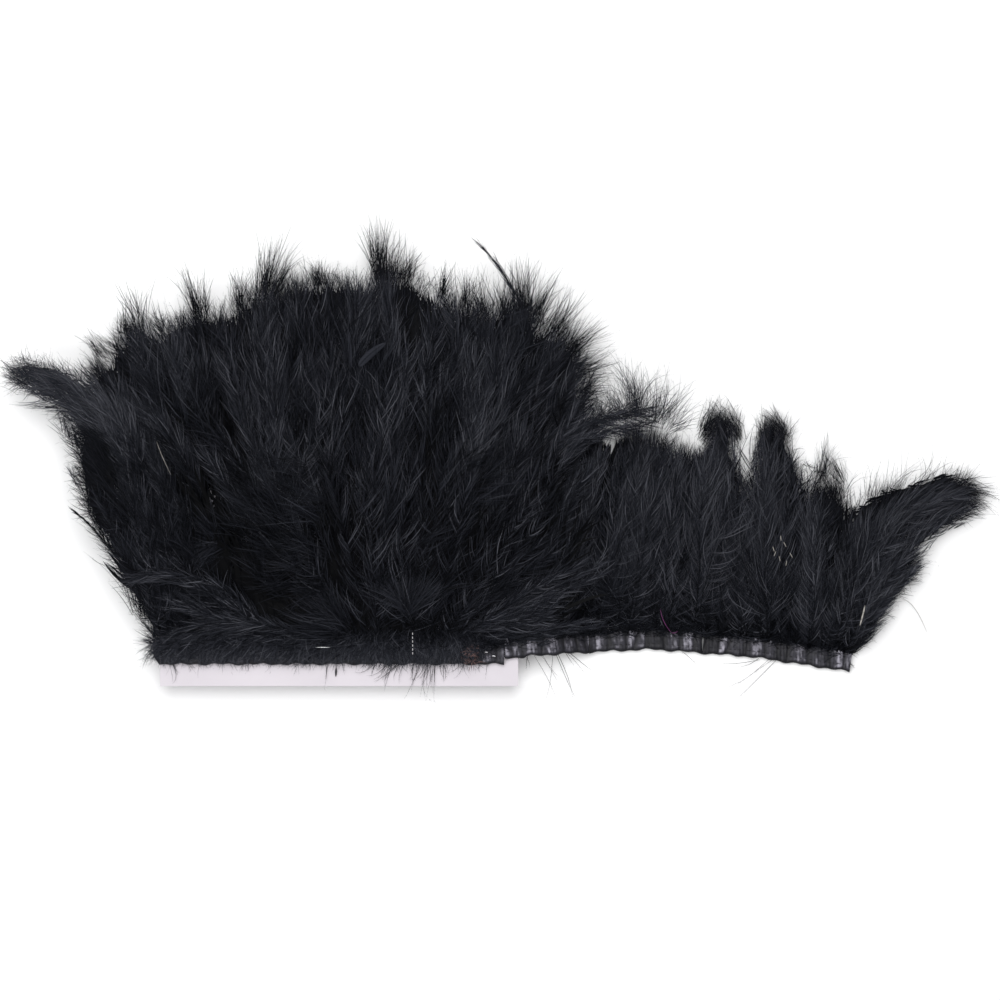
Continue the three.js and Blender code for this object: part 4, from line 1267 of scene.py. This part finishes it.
def add_tail_part(part, per_clump, style):
    """The tail's feathers between two splits, which lie across the fold line of that number."""
    node = f"tail_{part + 1}_feathers"
    layer = Layer(node, node_box(node)[0][0] + (42, 32, 30)[part])
    flow, reaches = flow_and_reach(TAIL_CLUMPS)
    start, end = TAIL_SPLITS[part] + (0 if part else 2), TAIL_SPLITS[part + 1]
    clumps = [clump for clump in TAIL_CLUMPS if start <= clump[0] < end]
    underdown, plumage, loose = layers = Plumage(), Plumage(), Plumage()

    def roots(x):
        edge = tail_edge(np.clip(x, start, end))
        return edge + [0, HEADER_WIDTH - 3, HEADER_DEPTH / 2]

    style = {**style, "outline": TAIL_OUTLINE, "spare": 5.5}
    x = uneven(start, end, int((end - start) / 4))
    add_under_feathers(underdown, roots(x), flow, reaches, layer, style, 0.24)
    x = np.linspace(start + 1, end - (6 if part == 2 else 1), 24)
    y, z = roots(x).T[1:]
    add_painted_shade_locks(underdown, x, y + 3, follow(flow, x), follow(reaches, x), layer, int((end - start) * 6))

    x, heading, length, share, shade = clumps_of(clumps, per_clump, 3.0, 6.5)
    bend = rng.normal(2, 6, len(x))
    add_feathers(plumage, roots(x), heading, bend, length, layer, share, style, shade + 0.03)

    x = np.repeat(np.linspace(start + 1, end - 1, 24), 2)
    y, z = roots(x).T[1:]
    add_base_down(loose, x, y + 3, z + 1.4, 16, 12.0, 110, 0.38)
    add_cover(loose, layer, flow, (start, end), (50, 125), int((end - start) / 7), 30, 26, 0.48)
    edge = [place for place in TAIL_SIDE if start - 9 <= place[0] < (end if part < 2 else 540)]
    swing = flow + [(447, 14), (480, 62), (530, 84)]
    add_rim(underdown, loose, TAIL_OUTLINE, edge, swing, layer, hairs=1.6, reach=11)
    across = (start, end if part < 2 else 530)
    add_fill(underdown, TAIL_OUTLINE, swing, layer, across, (40, 165), int((end - start) * 9))
    if part == 1:
        add_splash(loose, 293, 58, layer.height(58, 1.0), 220, 30, -10, 70, 0.5)
        add_splash(loose, 362, 160, layer.height(160, 0.8), 90, 27, 0, 15, 0.4, 0.2, (0, 8), 0.6)
    if part == 2:
        end_plume(loose, layer)
        for x, y in ((419, 142), (422, 138), (425, 141), (427, 137)):
            add_stray_hairs(loose, [x, y, 9.0], 30, 80, 4, 4, width=0.6)
        add_fans(loose, layer, 0.8, END_FANS, 0.4, 0.2, (0, 8), 0.5)
    for x, y, heading, spread, reach, count in TAIL_HAIRS[part]:
        add_stray_hairs(loose, [x, y, 3.0], heading, spread, reach, count, curl=0.3)
    finish_feathers(f"tail_{part + 1}", layers, node, lambda piece: bend_with_tail(piece))


# The staple and loose bits


def bent_line(a, b, c, steps=9):
    """Points from a to c, drawn towards b."""
    t = np.linspace(0, 1, steps)[:, None]
    a, b, c = np.array([a, b, c], float)
    return (1 - t) ** 2 * a + 2 * t * (1 - t) * b + t**2 * c


def add_lines(name, lines, width, material, slot, part=None):
    """Round threads or quills along bent lines (a, b, c) that lie on the feathers."""
    out = Plumage()
    paths = np.array([bent_line(*line) for line in lines])
    t = np.linspace(-1, 1, paths.shape[1])
    out.tubes(paths, width * (1 - 0.6 * t**4))
    piece = out.piece(name, material, slot)
    if part is None:
        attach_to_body(piece, "wound_card")
    else:
        bend_with_tail(piece)


WIRE = 0.55  # the staple's thickness


def add_staple():
    """A round wire staple: crown over the header, legs through it and the card, ends clinched behind."""
    low, high = node_box("card_staple")
    left, right, y = low[0] + 0.3, high[0] - 0.3, (low[1] + high[1]) / 2
    crown, back = high[2] + 2.2, low[2] + 0.25
    half = [(3.4, back), (0.5, back), (0, back + 0.5), (0, crown - 0.7), (0.6, crown)]
    line = [(left + x, z) for x, z in half] + [((left + right) / 2, crown + 0.25)]
    line += [(right - x, z) for x, z in half[::-1]]
    out = Plumage()
    out.tubes(np.array([[(x, y, z) for x, z in line]]), WIRE, sides=8)
    piece = out.piece("wire_staple", STEEL, "steel")
    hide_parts("card_staple")
    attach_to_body(piece, "wound_card")


def add_loose_bits():
    """A bare quill with a bead of glue, ends of thread, bits of quill and a curl of brown down."""
    out = Plumage()
    quill = np.array([bent_line((113.6, 18.5, 21.0), (113.9, 13, 18.2), (113.4, 6.2, 16.7), 10)])
    out.tubes(quill, [0.8, 0.7, 0.6, 0.5, 0.5, 0.5, 1.1, 1.4, 1.1, 0.4], sides=8)
    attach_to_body(out.piece("beaded_quill", QUILL, "quill"), "wound_card")

    dashes = [(y, 25.5 + 0.25 * (y - 22)) for y in (35, 32.4, 29.9, 27.3, 24.8, 22.3)]
    dashes = [((163.2, y, z), (163.3, y - 0.7, z + 0.3), (163.2, y - 1.5, z)) for y, z in dashes]
    add_lines("basting_thread", dashes, 0.42, PALE_THREAD, "thread")
    # pale spots that stand for glints on the satin, a painted reflection drawn as short pale threads
    spots = [((209.6, 22, 20.9), (210.4, 22.2, 21.3), (211.4, 21.8, 20.9)),
             ((214.2, 19.6, 20.9), (215.2, 19.9, 21.3), (216.4, 19.3, 20.9))]
    add_lines("satin_glint_spots", spots, 0.7, PALE_THREAD, "thread")
    barb = ((0.5, 157, 41), (3, 149, 41.6), (9.5, 136, 41.2))
    add_lines("light_barb", [barb], 0.26, PALE_QUILL, "feather")

    out = Plumage()
    add_splash(out, 200.6, 20, 21.0, 70, 5.5, 0, 180, 0.5)
    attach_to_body(out.piece("brown_down_tuft", BROWN_DOWN, "feather"), "wound_card")

    thread = [((323.0, 50, 9), (324, 41, 7.5), (330.5, 34, 4.2)),
              ((330.5, 34, 4.2), (333, 33.2, 4.6), (334.5, 35, 4.4))]
    add_lines("magenta_thread", thread, 0.35, MAGENTA_THREAD, "thread", 1)
    flecks = [(400, 97, 0.4), (402, 93, 1.6), (397, 87, -1.2), (399, 84, 0.8), (406, 86, 1.8),
              (404, 81, -0.6), (395, 90, 1.0)]
    flecks = [((x, y, 19), (x + lean / 2, y - 1.6, 19.3), (x + lean, y - 3.2, 19)) for x, y, lean in flecks]
    add_lines("pale_flecks", flecks, 0.42, PALE_QUILL, "feather", 2)
    sliver = ((454.8, 52, 15), (453.6, 46, 15.4), (451.6, 39, 14.6))
    add_lines("quill_sliver", [sliver], 1.1, PALE_QUILL, "quill", 2)
    barb = ((480.5, 55.5, 1.2), (488, 55, 3.5), (496.6, 34, 0.8))
    add_lines("fallen_barb", [barb], 0.35, PALE_QUILL, "feather", 2)


# The boa

card = frame["nodes"]["winding_card"]
card.data.materials.clear()
card.data.materials.append(CARD)
rounding = card.modifiers.new("worn_edges", "BEVEL")
rounding.width = 0.0004
rounding.segments = 2
for row in (1, 2, 3, 4):
    # row 4's header: a finer mesh, and its painted highlight at half strength up to x 190, rising to 0.9 by
    # x 212
    uncovered = {"spacing": 0.5, "painted_sheen": ((0, 0.5), (190, 0.5), (212, 0.9))}
    add_row_header(f"front_row_{row}", **(uncovered if row == 4 else {}))
for row in (1, 2, 3):
    add_row_header(f"back_row_{row}", face_down=True)
    for where, side in (("left", -1), ("right", 1)):
        node = f"{where}_turn_{row}"
        place, length = turn_place(node, side)
        # the turns round the card's sides get their painted highlight at 0.3 strength
        piece = add_satin(f"{node}_satin", [node], length, place, Puckers(length, 0.5),
                          0.55, ((0, 0.3), (1, 0.3)))
        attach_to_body(piece, "wound_card")
tail_puckers = Puckers(TAIL_END - TAIL_START + 20, 1.0)
for part in (0, 1, 2):
    x = np.linspace(TAIL_SPLITS[part], TAIL_SPLITS[part + 1], 24)
    label = f"tail_{part + 1}"
    nodes = row_nodes(label)
    if part == 0:
        nodes["header"].append("tail_lead_header")
    offset = TAIL_SPLITS[part] - TAIL_START
    add_header(label, nodes, tail_edge(x), part, puckers=tail_puckers, offset=offset)

add_front_row(1, 6, 40, 500, style_of(bare=0.38, tufts=17), far_edge)
add_front_row(2, 5, 36, 500, style_of(bare=0.36, tufts=17), right_plume)
add_front_row(3, 5, 36, 600, style_of(bare=0.15, tufts=17), left_plume)
add_front_row(4, 6, 44, 1100, style_of(tufts=17), near_edge)
for row in (1, 2, 3):
    add_back_row(row, 40, style_of(tufts=9, bare=0.05, fuzz=2))
for part in (0, 1, 2):
    add_tail_part(part, 6, style_of())

add_staple()
add_loose_bits()
